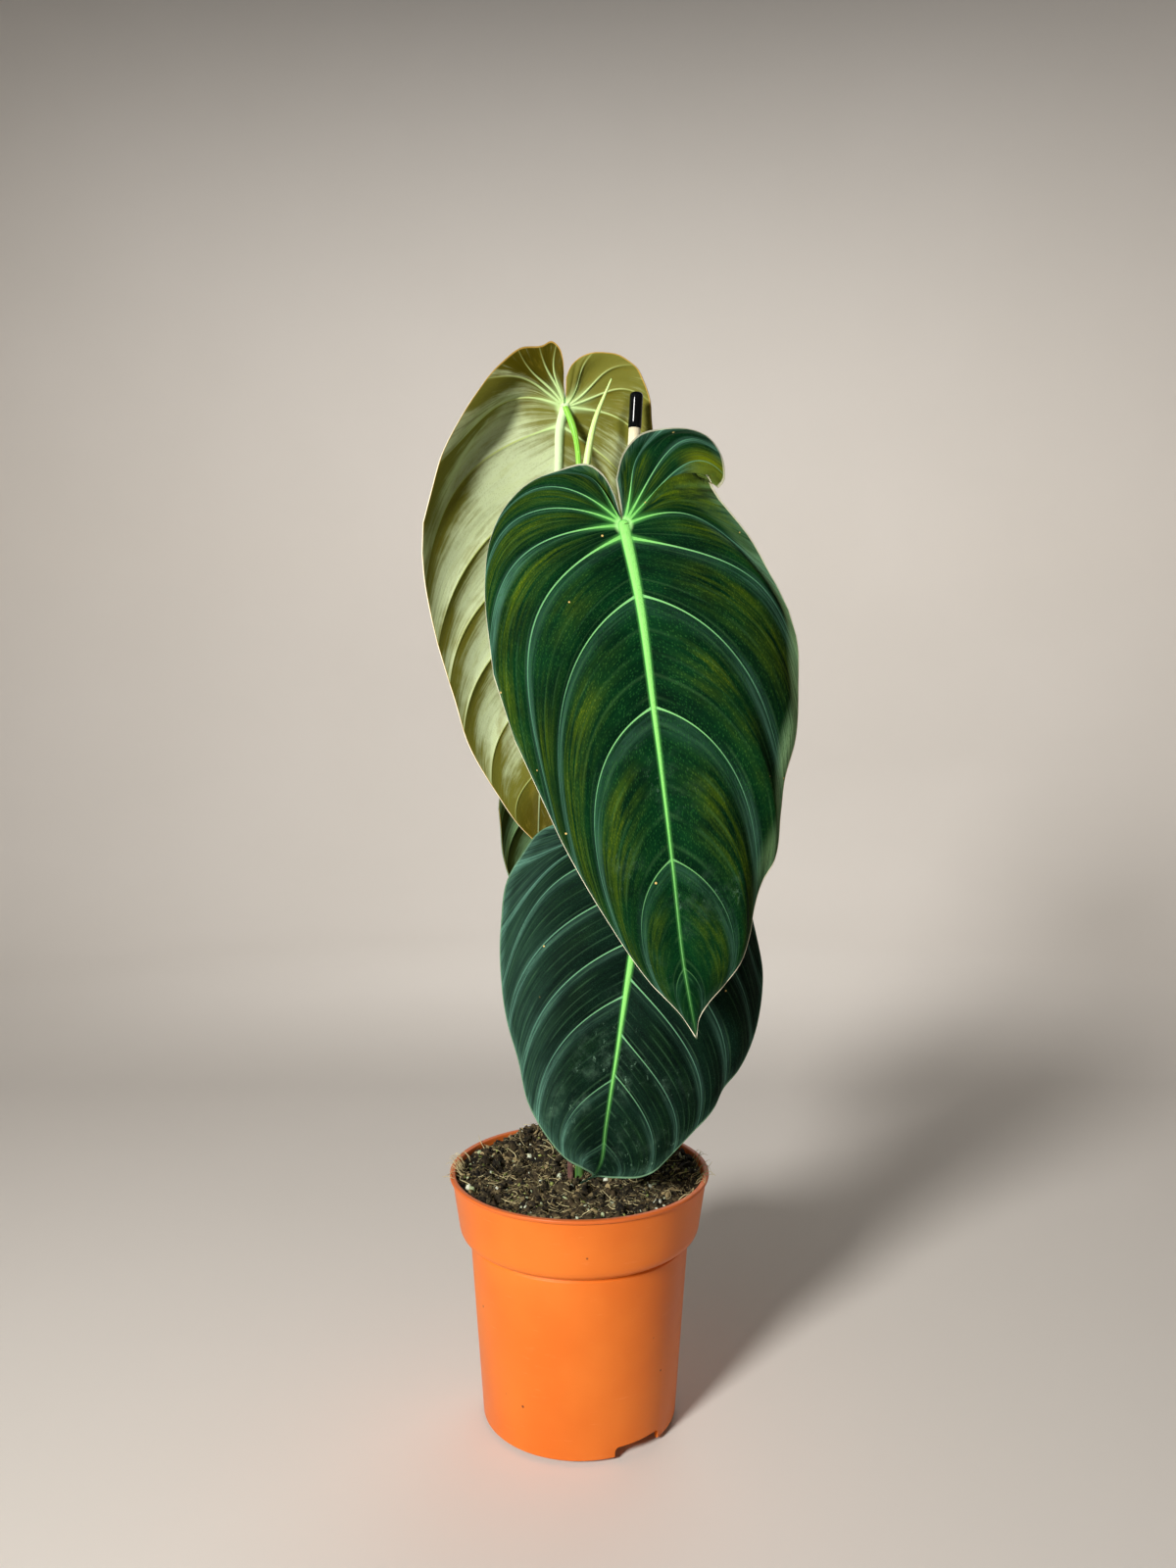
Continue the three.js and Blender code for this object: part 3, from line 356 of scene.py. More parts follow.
def bell(values, centre, width):
    """1 where the values are at the centre, falling off smoothly over a width."""
    return np.exp(-(((values - centre) / width) ** 2))


def ripples(points, wavelength, seed, waves=12):
    """Smooth seeded noise of about -1 to 1, as a sum of plane waves."""
    rng = np.random.default_rng(seed)
    directions = unit(rng.normal(size=(waves, points.shape[-1])))
    lengths = wavelength * rng.uniform(0.7, 1.5, waves)
    phases = rng.uniform(0, CIRCLE, waves)
    return np.sin(CIRCLE * (points @ directions.T) / lengths + phases).sum(-1) / math.sqrt(waves)


class SmoothLine:
    """A smooth curve through given rows, read by its share of the length."""

    def __init__(self, rows):
        self.rows = np.array(rows, float)
        step = np.linalg.norm(np.diff(self.rows[:, :3], axis=0), axis=1)
        self.length = step.sum()
        self.share = np.concatenate([[0], np.cumsum(step)]) / self.length
        width = np.diff(self.share)[:, None]
        rise = np.diff(self.rows, axis=0) / width
        inner = (rise[:-1] * width[1:] + rise[1:] * width[:-1]) / (width[:-1] + width[1:])
        self.slope = np.concatenate([rise[:1], inner, rise[-1:]])

    def at(self, shares):
        shares = np.clip(np.asarray(shares, float), 0, 1)
        i = np.clip(np.searchsorted(self.share, shares, side="right") - 1, 0, len(self.rows) - 2)
        width = (self.share[i + 1] - self.share[i])[..., None]
        x = (shares - self.share[i])[..., None] / width
        before = (2 * x**3 - 3 * x**2 + 1) * self.rows[i] + (x**3 - 2 * x**2 + x) * width * self.slope[i]
        after = (3 * x**2 - 2 * x**3) * self.rows[i + 1] + (x**3 - x**2) * width * self.slope[i + 1]
        return before + after

    def direction(self, shares, window):
        return unit(self.at(shares + window)[..., :3] - self.at(shares - window)[..., :3])


# Meshes


def mesh_piece(name, points_mm, faces, materials, smooth=True, fields=None, face_materials=None):
    """A mesh object from points in millimetres, with optional named values at its points."""
    mesh = bpy.data.meshes.new(name)
    mesh.from_pydata((np.asarray(points_mm) * MM).tolist(), [], [list(f) for f in faces])
    for material in materials:
        mesh.materials.append(material)
    if face_materials is not None:
        mesh.polygons.foreach_set("material_index", face_materials)
    mesh.polygons.foreach_set("use_smooth", [smooth] * len(mesh.polygons))
    for field, values in (fields or {}).items():
        attribute = mesh.attributes.new(field, "FLOAT", "POINT")
        attribute.data.foreach_set("value", np.asarray(values, np.float32))
    mesh.update()
    piece = bpy.data.objects.new(name, mesh)
    bpy.context.scene.collection.objects.link(piece)
    return piece


def belongs(piece, slot, *nodes):
    """Puts a piece on the plant's one body, in place of CAD nodes. slot is not used."""
    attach(piece, "root")
    if nodes:
        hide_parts(*nodes)


def tube_faces(rings, sides):
    """Quads and two end caps of a tube whose points are rings of sides, one ring after another."""
    faces = []
    for low in range(0, (rings - 1) * sides, sides):
        for k in range(sides):
            n = (k + 1) % sides
            faces.append((low + k, low + n, low + sides + n, low + sides + k))
    faces.append(tuple(range(sides))[::-1])
    faces.append(tuple((rings - 1) * sides + k for k in range(sides)))
    return faces


def rod_piece(name, rows, sides, steps, shape, material, shade=None):
    """A rod through (x, y, z, radius) rows. shape(share, turn) is what the radius is multiplied by."""
    line = SmoothLine(rows)
    share = np.linspace(0, 1, steps + 1)
    centre = line.at(share)
    along = line.direction(share, 0.01)
    normal = np.array([1.0, 0, 0])
    turn = CIRCLE * np.arange(sides) / sides
    points = []
    for i in range(steps + 1):
        normal = unit(normal - along[i] * (normal @ along[i]))
        ring = np.cos(turn)[:, None] * normal + np.sin(turn)[:, None] * np.cross(along[i], normal)
        radius = centre[i, 3] * shape(share[i], turn)
        points.append(centre[i, :3] + ring * radius[:, None])
    fields = {"share": np.repeat(share, sides), "turn": np.tile(turn, steps + 1) / CIRCLE}
    if shade:
        fields["shade"] = shade(fields)
    return mesh_piece(name, np.concatenate(points), tube_faces(steps + 1, sides), [material], fields=fields)


def disc_faces(rings, segments):
    """Faces of a closed surface of rings of points between a first and a last point on the axis."""
    faces = []
    last = 1 + rings * segments
    top = last - segments
    for k in range(segments):
        n = (k + 1) % segments
        faces.append((0, 1 + n, 1 + k))
        for low in range(1, top, segments):
            high = low + segments
            faces.append((low + k, low + n, high + n, high + k))
        faces.append((top + k, top + n, last))
    return faces


def lathe_points(profile, segments):
    """Points and faces of a closed (radius, z) profile that starts and ends on the axis."""
    turn = CIRCLE * np.arange(segments) / segments
    points = [(0, 0, profile[0][1])]
    for radius, z in profile[1:-1]:
        points += [(radius * math.cos(t), radius * math.sin(t), z) for t in turn]
    points.append((0, 0, profile[-1][1]))
    return np.array(points, float), disc_faces(len(profile) - 2, segments)


def rounded(profile, cuts):
    """Replaces corners of a profile by short arcs. cuts maps a corner's index to its arc's reach."""
    out = []
    for i, corner in enumerate(profile):
        if i not in cuts:
            out.append(corner)
            continue
        corner = np.array(corner, float)
        before = unit(profile[i - 1] - corner) * cuts[i]
        after = unit(profile[i + 1] - corner) * cuts[i]
        for t in np.linspace(0, 1, 5):
            out.append(tuple(corner + before * (1 - t) ** 2 + after * t**2))
    return out


# Materials


class Value:
    """A number or colour that a material's nodes work out, with arithmetic as expressions."""

    def __init__(self, shader, socket):
        self.shader = shader
        self.socket = socket

    def math(self, operation, other=0, **settings):
        return self.shader.node("Math", {0: self, 1: other}, operation=operation, **settings)

    def __mul__(self, other):
        return self.math("MULTIPLY", other)

    def __add__(self, other):
        return self.math("ADD", other)

    def fraction(self):
        return self.math("FRACT")

    def rest(self):
        """What is left of 1, and never less than 0."""
        return (self * -1).math("ADD", 1, use_clamp=True)

    def span(self, low, high, start=0, end=1):
        """Takes the value from low..high smoothly to start..end."""
        inputs = dict(enumerate((self, low, high, start, end)))
        return self.shader.node("MapRange", inputs, interpolation_type="SMOOTHSTEP")

    def near(self, centre, width):
        """1 where the value is at centre, falling to 0 a width away."""
        return self.math("SUBTRACT", centre).math("ABSOLUTE").span(width, 0)


class Shader:
    """A material whose surface is written as expressions of nodes."""

    def __init__(self, name):
        self.material = bpy.data.materials.new(name)
        self.material.use_nodes = True
        self.tree = self.material.node_tree
        self.tree.nodes.clear()
        output = self.tree.nodes.new("ShaderNodeOutputMaterial")
        self.surface = self.tree.nodes.new("ShaderNodeBsdfPrincipled")
        self.tree.links.new(self.surface.outputs[0], output.inputs[0])

    def fill(self, node, inputs):
        for key, value in inputs.items():
            if isinstance(value, Value):
                self.tree.links.new(value.socket, node.inputs[key])
            else:
                node.inputs[key].default_value = value

    def node(self, kind, inputs, output=0, **settings):
        node = self.tree.nodes.new("ShaderNode" + kind)
        for key, value in settings.items():
            setattr(node, key, value)
        self.fill(node, inputs)
        return Value(self, node.outputs[output])

    def finish(self, colour, **values):
        """Gives the surface its colour and other inputs, and returns the material."""
        inputs = {name.replace("_", " "): value for name, value in values.items()}
        self.fill(self.surface, {"Base Color": colour, **inputs})
        return self.material

    def field(self, name):
        return self.node("Attribute", {}, "Fac", attribute_name=name)

    def position(self, scale=None):
        """The point on the piece, in metres, or stretched by a scale of each axis."""
        point = self.node("TexCoord", {}, "Object")
        return self.node("Mapping", {"Vector": point, "Scale": scale}) if scale else point

    def vector(self, x, y, z=0):
        return self.node("CombineXYZ", {0: x, 1: y, 2: z})

    def mix(self, factor, *colours):
        """Goes from the first colour to the second one, each a Value or an 8-bit (red, green, blue)."""
        a, b = (colour if isinstance(colour, Value) else srgb(*colour) for colour in colours)
        return self.node("Mix", {0: factor, 6: a, 7: b}, 2, data_type="RGBA")

    def coats(self, colour, *coats):
        """Lays (mask, colour) coats over a colour, one after another."""
        for mask, coat in coats:
            colour = self.mix(mask, colour, coat)
        return colour

    def noise(self, scale, detail=2, roughness=0.5, at=None):
        inputs = {"Vector": at or self.position(), "Scale": scale, "Detail": detail, "Roughness": roughness}
        return self.node("TexNoise", inputs, "Fac")

    def cells(self, scale, randomness=0.8, at=None):
        inputs = {"Vector": at or self.position(), "Scale": scale, "Randomness": randomness}
        return self.node("TexVoronoi", inputs, "Distance")

    def bump(self, height, distance, strength):
        return self.node("Bump", {"Strength": strength, "Distance": distance, "Height": height})


def leaf_patterns(s, place, across, half):
    """What both sides of a blade share: streaks and rows of tiny dots along the veins."""
    streaks = s.noise(1, 4, 0.65, s.vector(place * 11, across * 2.6, half))
    dots = s.cells(1, at=s.vector(place * 38, across * 88, half))
    return streaks, dots.span(0.5, 0.1)


def velvet_material(name, tone):
    """The upper side of a blade: dark velvet, gold and teal between pale veins, painted sheen and shade."""
    s = Shader(name)
    tone = SimpleNamespace(**tone)
    place, across, share, from_vein, from_rib, from_edge, hub, half = map(s.field, BLADE_FIELDS)
    cell = place.fraction()
    streaks, dots = leaf_patterns(s, place, across, half)
    threads = s.noise(1, 3, 0.6, s.vector(place * 42, across * 3.5, half))
    patches = s.noise(42, 3, 0.6)
    shade = patches.span(0.3, 0.7, 0, 0.6) + streaks.span(0.3, 0.7, 0, 0.4)
    right = half.span(3, 4)

    # Gold in the middle of each cell and on the hooked lobe, teal and painted sheen beside the veins and
    # along the margin
    hook = right * tone.hook * place.near(2.9, 0.65) * across.span(0.5, 0.8)
    gold = (cell.near(0.36, 0.3) + cell.near(0.62, 0.32) * 0.5) * streaks.span(0.36, 0.7)
    gold = gold * s.noise(24).span(0.28, 0.6) * across.span(0.02, 0.4) * share.span(0.98, 0.6)
    gold = gold + hook * streaks.span(0.3, 0.6)
    # Painted sheen: pale patches under the fourth vein and by the right margin of the hooked half
    painted_sheen = place.near(4.3, 0.45) * across.span(0.35, 0.65) + place.near(5.7, 1.2) * across.span(0.8, 0.95)
    teal = cell.near(0.07, 0.15) * across.span(0.3, 0.9, 0.22, 1)
    teal = teal + cell.near(0.97, 0.1) * across.span(0.2, 0.85) * 0.45
    teal = teal + from_edge.span(8, 1) * 0.5 + right * tone.hook * painted_sheen * 0.8
    teal = teal * streaks.span(0.32, 0.6, 0.3, 1.1) * threads.span(0.35, 0.62, 0.45, 1.1) * hook.rest()
    teal = teal * share.span(0.95, 0.7, 0.3, 1) * half.span(3, 4, 1, tone.right_teal)
    # Painted sheen: a pale strip along the right margin, where the blade turns away from the light
    strip = from_edge.span(22, 9) * place.near(5.4, 2.2) * right * tone.hook
    # Painted light: a teal wash over the outer left half, the side the key light comes from
    left_light = half.span(4, 3) * across.span(0.35, 0.85, 0, tone.left_light)

    # Small veins, the veins and the midrib, with the light green that surrounds them
    minor = s.noise(4, at=s.vector(place, across)).span(0.38, 0.62) * (cell * 5).fraction().near(0.5, 0.14)
    vein = from_vein.span(0.1, -0.12) * across.span(0.05, 1, 1, 0.35) * share.span(0.5, 0.82, 1, 0.2)
    vein_colour = s.coats(tone.vein, (across.span(0.1, 0.7), tone.vein_far), (hub.span(26, 4), tone.rib))
    glow = from_vein.span(1.6, 0) * hub.span(22, 3) * 0.5
    rib_fade = share.span(*tone.rib_end)
    rib_colour = s.mix(from_rib.span(-0.6, 0.1), tone.rib, tone.rib_side)
    rib_colour = s.mix(share.span(0.55, 0.95), rib_colour, tone.rib_far)
    margin = from_edge.span(1.3, 0.8) * share.span(*tone.margin_end) * hub.span(3, 9)
    margin = margin * place.span(2.5, 7, 0.4, tone.margin_share)

    # Specks of dust, scratches and worn haze
    dust = s.cells(95, 1).span(0.052, 0.03) * s.noise(60).span(0.5, 0.55)
    scratch = s.noise(1, 5, 0.75, s.position((420, 420, 230))).span(0.6, 0.68)
    scratch = scratch + s.noise(130, 5, 0.7).span(0.45, 0.75, 0, 0.35)
    scratch = scratch * s.noise(38, 3).span(0.5, 0.64) * share.span(0.3, 0.6)

    colour = s.coats(
        s.mix(shade, tone.deep, tone.body),
        # Painted shade: darker just before each next vein, where the cell sinks into the vein's crease
        (cell.span(0.8, 0.97) * 0.6, tone.deep),
        (gold * tone.gold_share, tone.gold),
        (teal * tone.teal_share, tone.teal),
        (hook * 0.25, tone.gold_grain),
        (strip * threads.span(0.3, 0.6, 0.4, 1) * 0.75, tone.strip),
        (left_light * streaks.span(0.3, 0.65, 0.3, 1), tone.teal),
        (dots * patches.span(0.3, 0.7, 0.25, 0.55), s.mix(gold, tone.grain, tone.gold_grain)),
        (threads.span(0.5, 0.3, 0, 0.4), tone.deep),
        (minor * tone.minor_share, tone.vein),
        (vein, vein_colour),
        (glow, tone.rib_side),
        (hub.span(4.6, 2.2), tone.hub),
        (from_rib.span(1, 0) * rib_fade * 0.35, tone.rib_side),
        (from_rib.span(0.1, -0.12) * rib_fade, rib_colour),
        (margin, tone.margin),
        (dust * tone.dust, tone.speck),
        (scratch * tone.scuff, tone.scratch),
    )
    return s.finish(
        colour, Roughness=tone.rough, Specular_IOR_Level=tone.gloss, Sheen_Weight=tone.sheen,
        Sheen_Roughness=0.4, Sheen_Tint=srgb(*tone.sheen_tint),
        Normal=s.bump(dots * 0.6 + streaks * 0.8, 0.0003, 0.6),
    )


def underside_material(name, tone):
    """The lower side: satin olive with raised veins and a painted highlight as it swells to each next vein.
    """
    s = Shader(name)
    tone = SimpleNamespace(**tone)
    place, across, share, from_vein, from_rib, from_edge, hub, half = map(s.field, BLADE_FIELDS)
    cell = place.fraction()
    streaks, dots = leaf_patterns(s, place, across, half)

    # Painted highlight, weaker in the lobes, near the tip, along the margin and by the upper midrib
    # It grows towards each next vein, so just past each vein it leaves a painted shade
    swell = cell + across.span(0, 1, 0.35, -0.2)
    painted_light = swell.span(-0.04, 0.46) * place.span(tone.lobes - 0.9, tone.lobes + 0.3)
    painted_light = painted_light * share.span(0.92, 0.62) * across.span(1, 0.6, 0.6, 1)
    painted_light = painted_light * (place.span(7, 5) * across.span(0.55, 0.1, 0, 0.5)).rest()
    painted_light = painted_light * half.span(3, 4, 1, tone.right_share)
    painted_light = painted_light + s.noise(26, 4, 0.6).span(0.35, 0.7, -0.3, 0.22) + streaks.span(0.3, 0.7, -0.34, 0.2)

    later = place.span(3.3, 4.6).math("MAXIMUM", half.span(3, 4)) * share.span(0.92, 0.75)
    blotch = s.noise(1, 4, 0.65, s.vector(place * 2.4, across * 3, half))
    vein = from_vein.span(0.3, -0.3) * across.span(1, 0.55, 0.35, 1)
    colour = s.coats(
        s.mix(later, tone.body, tone.band),
        (painted_light.span(0, 1), tone.light),
        (blotch.span(0.5, 0.7, 0, 0.45), tone.brown),
        (streaks.span(0.45, 0.75, 0, 0.3) * painted_light.span(0, 0.5, 0.1, 1), tone.vein),
        (dots * 0.16, tone.body),
        (vein, s.mix(hub.span(34, 6), tone.vein, tone.hub)),
        (from_vein.span(2.4, 0) * hub.span(18, 3) * 0.5, tone.hub),
        (hub.span(6, 2.5), tone.hub),
        (from_rib.span(0.15, -0.15) * share.span(0.95, 0.7, 0.25, 1), tone.rib),
        (from_edge.span(0.9, 0.5) * share.span(0.995, 0.97, 0, 0.8) * hub.span(3, 9), tone.margin),
    )
    normal = s.bump(dots * 0.2 + streaks * 0.8, 0.0004, 0.5)
    return s.finish(colour, Roughness=0.55, Specular_IOR_Level=0.07, Normal=normal)


UPPER_TONE = dict(
    deep=(2, 22, 10), body=(5, 49, 22), gold=(70, 92, 3), gold_share=0.72, teal=(82, 126, 106),
    teal_share=0.62, right_teal=1, left_light=0, hook=1, strip=(150, 190, 134), grain=(36, 92, 40),
    gold_grain=(134, 138, 18), vein=(124, 190, 116), vein_far=(92, 148, 116), minor_share=0.05,
    hub=(166, 226, 140), rib=(140, 218, 112), rib_side=(84, 164, 76), rib_far=(110, 166, 100),
    rib_end=(1.02, 0.9), margin=(246, 240, 210), margin_end=(0.995, 0.97), margin_share=1, dust=0.9,
    speck=(226, 190, 116), scuff=0.25, scratch=(112, 150, 124), rough=0.7, gloss=0.02, sheen=0.01,
    sheen_tint=(120, 190, 160),
)
LOWER_TONE = dict(
    UPPER_TONE, deep=(2, 14, 9), body=(9, 33, 22), gold=(18, 44, 16), gold_share=0.5,
    teal=(88, 132, 114), teal_share=0.7, right_teal=0.5, left_light=0.15, hook=0, grain=(28, 62, 44),
    gold_grain=(42, 74, 36), vein=(112, 170, 120), vein_far=(96, 146, 122), minor_share=0.09,
    rib_far=(80, 116, 68), rib_end=(0.94, 0.8), margin=(112, 150, 116), margin_end=(0.95, 0.88),
    margin_share=0.7, scuff=0.6, gloss=0.04,
)
# In both underside tones, light is the colour of the painted highlight
PALE_TONE = dict(
    body=(70, 64, 3), band=(108, 108, 40), light=(177, 189, 150), brown=(112, 100, 26),
    vein=(166, 178, 104), hub=(190, 218, 150), rib=(204, 230, 178), margin=(196, 156, 76),
    lobes=4, right_share=0.45,
)
GREEN_TONE = dict(
    PALE_TONE, body=(42, 50, 12), band=(48, 58, 18), light=(104, 136, 94), brown=(54, 58, 18),
    vein=(90, 118, 68), lobes=2, right_share=1,
)


def stalk_material(name, low, high, fleck, rough=0.38):
    """Smooth green skin with lengthwise streaks and pale flecks."""
    s = Shader(name)
    share, turn = s.field("share"), s.field("turn")
    streaks = s.noise(1, 3, at=s.vector(turn * 14, share * 5))
    flecks = s.cells(1, at=s.position((900, 900, 380))).span(0.26, 0.16)
    colour = s.coats(s.mix(streaks.span(0.35, 0.65), low, high), (flecks * 0.45, fleck))
    return s.finish(
        colour, Roughness=rough, Specular_IOR_Level=0.45, Subsurface_Weight=0.15,
        Subsurface_Radius=(0.6, 1, 0.2), Subsurface_Scale=0.002, Normal=s.bump(streaks, 0.0003, 0.4),
    )


def pot_material():
    """Terracotta coloured moulded plastic, a little dusty and scuffed, with a blotchy darker line at the
    foot of its lip.
    """
    s = Shader("pot_plastic")
    height = s.field("height")
    lip = LIP_FOOT_Z - LIP_STEP
    cloud = s.noise(22, 3)
    marks = s.noise(1, 4, 0.7, s.position((60, 60, 420)))
    specks = s.cells(110).span(0.09, 0.05) * s.noise(45).span(0.58, 0.62)
    # Darker in blotches along a thin band at the foot of the lip
    lip_dark_line = height.near(lip, 0.5) * s.noise(90).span(0.35, 0.62)
    colour = s.coats(
        s.mix(cloud.span(0.35, 0.7), (216, 108, 34), (224, 118, 41)),
        (marks.span(0.62, 0.74, 0, 0.2), (240, 150, 92)),
        (specks, (116, 58, 26)),
        (height.span(lip, lip + 0.8) * 0.6, (192, 92, 44)),
        (lip_dark_line * 0.6, (90, 44, 22)),
    )
    return s.finish(
        colour, Roughness=cloud.span(0.3, 0.7, 0.36, 0.46), Specular_IOR_Level=0.24, Subsurface_Weight=0.05,
        Subsurface_Radius=(1, 0.35, 0.1), Subsurface_Scale=0.002,
        Normal=s.bump(s.noise(1400) * 0.3 + marks * 0.5, 0.0002, 0.35),
    )


def crumb_material(name, dark, light, tint, rough=0.9):
    """Soil, chips and fibres: each grain has its own shade."""
    s = Shader(name)
    mottle = s.noise(700, 3, 0.6).span(0.5, 0.75, 0, 0.7)
    colour = s.coats(s.mix(s.field("shade").span(0, 1), dark, light), (mottle, tint))
    normal = s.bump(s.noise(1600, 3, 0.7), 0.0006, 0.8)
    return s.finish(colour, Roughness=rough, Specular_IOR_Level=0.25, Normal=normal)


def wood_material():
    """Pale wood with lengthwise grain."""
    s = Shader("stake_wood")
    share, turn = s.field("share"), s.field("turn")
    grain = s.noise(1, 4, 0.6, s.vector(turn * 26, share * 7))
    colour = s.mix(grain.span(0.35, 0.7), (238, 232, 204), (208, 188, 142))
    return s.finish(colour, Roughness=0.6, Normal=s.bump(grain, 0.0003, 0.5))


def cap_material():
    """Black gloss with faint smears."""
    s = Shader("cap_gloss")
    smear = s.noise(160, 3)
    colour = s.mix(smear.span(0.4, 0.7), (6, 8, 9), (12, 15, 17))
    rough = smear.span(0.35, 0.7, 0.03, 0.07)
    return s.finish(colour, Roughness=rough, Specular_IOR_Level=0.16, Normal=s.bump(smear, 0.0002, 0.1))


# Leaves


def table_column(rows, places, column):
    """One column of a table, read between its rows at these places."""
    return np.interp(places, np.arange(len(rows)), np.array(rows, float)[:, column])


def vein_lines(leaf, half, places, across):
    """Lines of a blade at these places of its vein table, as (line, step, xyz)."""
    rows = leaf["veins_" + half]
    midrib, margin = SmoothLine(leaf["midrib"]), SmoothLine(leaf[half])
    share, end_share = table_column(rows, places, 0), table_column(rows, places, 1)
    start, end = midrib.at(share), margin.at(end_share)
    along = midrib.direction(share, RIB_WINDOW)
    face = unit(leaf["face"])
    side = unit(np.cross(along, face))
    hand = np.sign(side @ (margin.rows.mean(0) - midrib.rows.mean(0)))[:, None]
    edge = margin.direction(end_share, MARGIN_WINDOW)
    edge = unit(edge - (edge @ face)[:, None] * face)
    chord = end - start
    span = np.linalg.norm(chord, axis=1, keepdims=True)
    up = unit(np.cross(chord, along))
    up = up * np.where(up @ face < 0, -1, 1)[:, None]
    leave_angle = np.radians(table_column(rows, places, 2))[:, None]
    meets = sorted([(place, row[3]) for place, row in enumerate(rows)] + leaf.get("meets_" + half, []))
    meet_angle = np.radians(np.interp(places, *np.array(meets, float).T))[:, None]
    leave = along * np.cos(leave_angle) + side * hand * np.sin(leave_angle)
    arrive = edge * np.cos(meet_angle) + unit(np.cross(edge, up)) * hand * np.sin(meet_angle)
    bowed = np.clip(places, 0, 1)[:, None]
    share = share[:, None]
    reach = REACH + (BOWED_REACH + leaf["reach"] * np.clip(1 - share / BASAL_STRETCH, 0, 1)) * bowed
    leave = leave * bowed + unit(chord) * (1 - bowed)
    arrive = arrive * bowed + unit(chord) * (1 - bowed)
    lift = up * leaf["bulge"] * span * bowed * (1 - share**2)
    first = start + leave * reach * span + lift
    second = end - arrive * reach * span + lift
    t = across[None, :, None]
    start, first, second, end = (p[:, None, :] for p in (start, first, second, end))
    return (1 - t) ** 3 * start + 3 * (1 - t) ** 2 * t * first + 3 * (1 - t) * t**2 * second + t**3 * end


def crowded(steps, pull):
    """Shares from 0 to 1 that crowd towards both ends."""
    t = np.linspace(0, 1, steps + 1)
    return t - pull * np.sin(CIRCLE * t) / CIRCLE


def midrib_stops(leaf, step_mm):
    """Shares of the midrib where lines leave it, crowded round every vein, common to both halves."""
    rows = leaf["veins_left"] + leaf["veins_right"]
    length = SmoothLine(leaf["midrib"]).length
    stops, previous = [], 0.0
    for end in sorted({row[0] for row in rows if row[0] > 0}):
        steps = max(3, round((end - previous) * length / step_mm))
        stops += list(previous + (end - previous) * crowded(steps, CROWDING)[1:])
        previous = end
    return [stop for stop in stops if stop < 0.9999]


def places_of(rows, stops, basal_steps):
    """Places of a half's lines in its vein table, and how many cells lie before the midrib's foot."""
    basal = sum(row[0] == 0 for row in rows) - 1
    places = [0.0]
    for cell in range(basal):
        places += list(cell + crowded(basal_steps, CROWDING)[1:])
    starts = np.array([row[0] for row in rows[basal:]])
    places += list(basal + np.interp(stops, starts, np.arange(len(starts))))
    return np.array(places), basal


def rib_widths(leaf, share):
    """Half the midrib's width at shares of its length."""
    base, tip, fall = leaf["rib"]
    return tip + (base - tip) * (1 - share) ** fall


def half_fields(leaf, half, places, across, points):
    """Coordinates of the points of one half of a blade, and their distances in millimetres."""
    rows = leaf["veins_" + half]
    veins = vein_lines(leaf, half, np.arange(len(rows), dtype=float), across)
    nearest = veins[np.clip(np.round(places), 1, len(rows) - 2).astype(int)]
    tangent = unit(np.gradient(nearest, across, axis=1))
    gap = points - nearest
    gap = gap - tangent * (gap * tangent).sum(-1, keepdims=True)
    share = table_column(rows, places, 0)[:, None]
    hub = np.linalg.norm(points, axis=-1)
    width = VEIN_WIDTH + VEIN_FOOT_WIDTH * np.exp(-across / VEIN_FOOT) + VEIN_TAPER * (1 - across)
    width = width[None, :] * (1 - VEIN_TIP_FADE * share) + HUB_WIDTH * np.exp(-hub / HUB_RADIUS)
    cell = np.clip(np.floor(places), 0, len(rows) - 2).astype(int)

    midrib = SmoothLine(leaf["midrib"])
    along = midrib.direction(share[:, 0], RIB_WINDOW)[:, None, :]
    step = points - midrib.at(share[:, 0])[:, None, :]
    forward = np.maximum((step * along).sum(-1, keepdims=True), 0)
    rib_width = rib_widths(leaf, share)

    step_length = np.linalg.norm(np.diff(points, axis=1), axis=-1)
    length = np.concatenate([np.zeros((len(places), 1)), np.cumsum(step_length, axis=1)], axis=1)
    edge = length[:, -1:] - length
    sinus = np.linalg.norm(points - vein_lines(leaf, half, np.zeros(1), across), axis=-1)
    ones = np.ones_like(edge)
    return {
        "place": places[:, None] * ones, "across": across[None, :] * ones, "share": share * ones,
        "vein": np.linalg.norm(gap, axis=-1) - width,
        "rib": np.linalg.norm(step - along * forward, axis=-1) - rib_width,
        "edge": np.where(places[:, None] < 1.5, np.minimum(edge, sinus), edge), "hub": hub,
        "room": np.linalg.norm(veins[cell + 1] - veins[cell], axis=-1),
        "half": ones * HALF_VALUES[half], "vein_width": width, "rib_width": rib_width * ones,
    }


def pleat_height(leaf, f):
    """How far the blade stands out between its veins."""
    puff = 1 - np.abs(2 * (f["place"] % 1) - 1) ** 2.2
    fall = PLEAT_FALL * np.clip((f["across"] - PLEAT_CREST) / (1 - PLEAT_CREST), 0, 1)
    fade = np.clip((1 - f["share"]) / PLEAT_TIP, 0, 1)
    depth = np.minimum(leaf["pleat"], PLEAT_PER_ROOM * f["room"]) * smoothstep(0.4, 1.6, f["place"])
    return depth * puff * np.clip(f["across"] / PLEAT_RISE, 0, 1) * (1 - fall) * fade


def as_quads(faces):
    """All faces as rows of four points, a triangle with its last point twice."""
    return np.array([f if len(f) == 4 else (*f, f[2]) for f in faces])


def summed(vectors, quads, count):
    """The direction of the faces' vectors, summed at each of their corners."""
    total = np.zeros((count, 3))
    for k in range(4):
        np.add.at(total, quads[:, k], vectors)
    return unit(total)


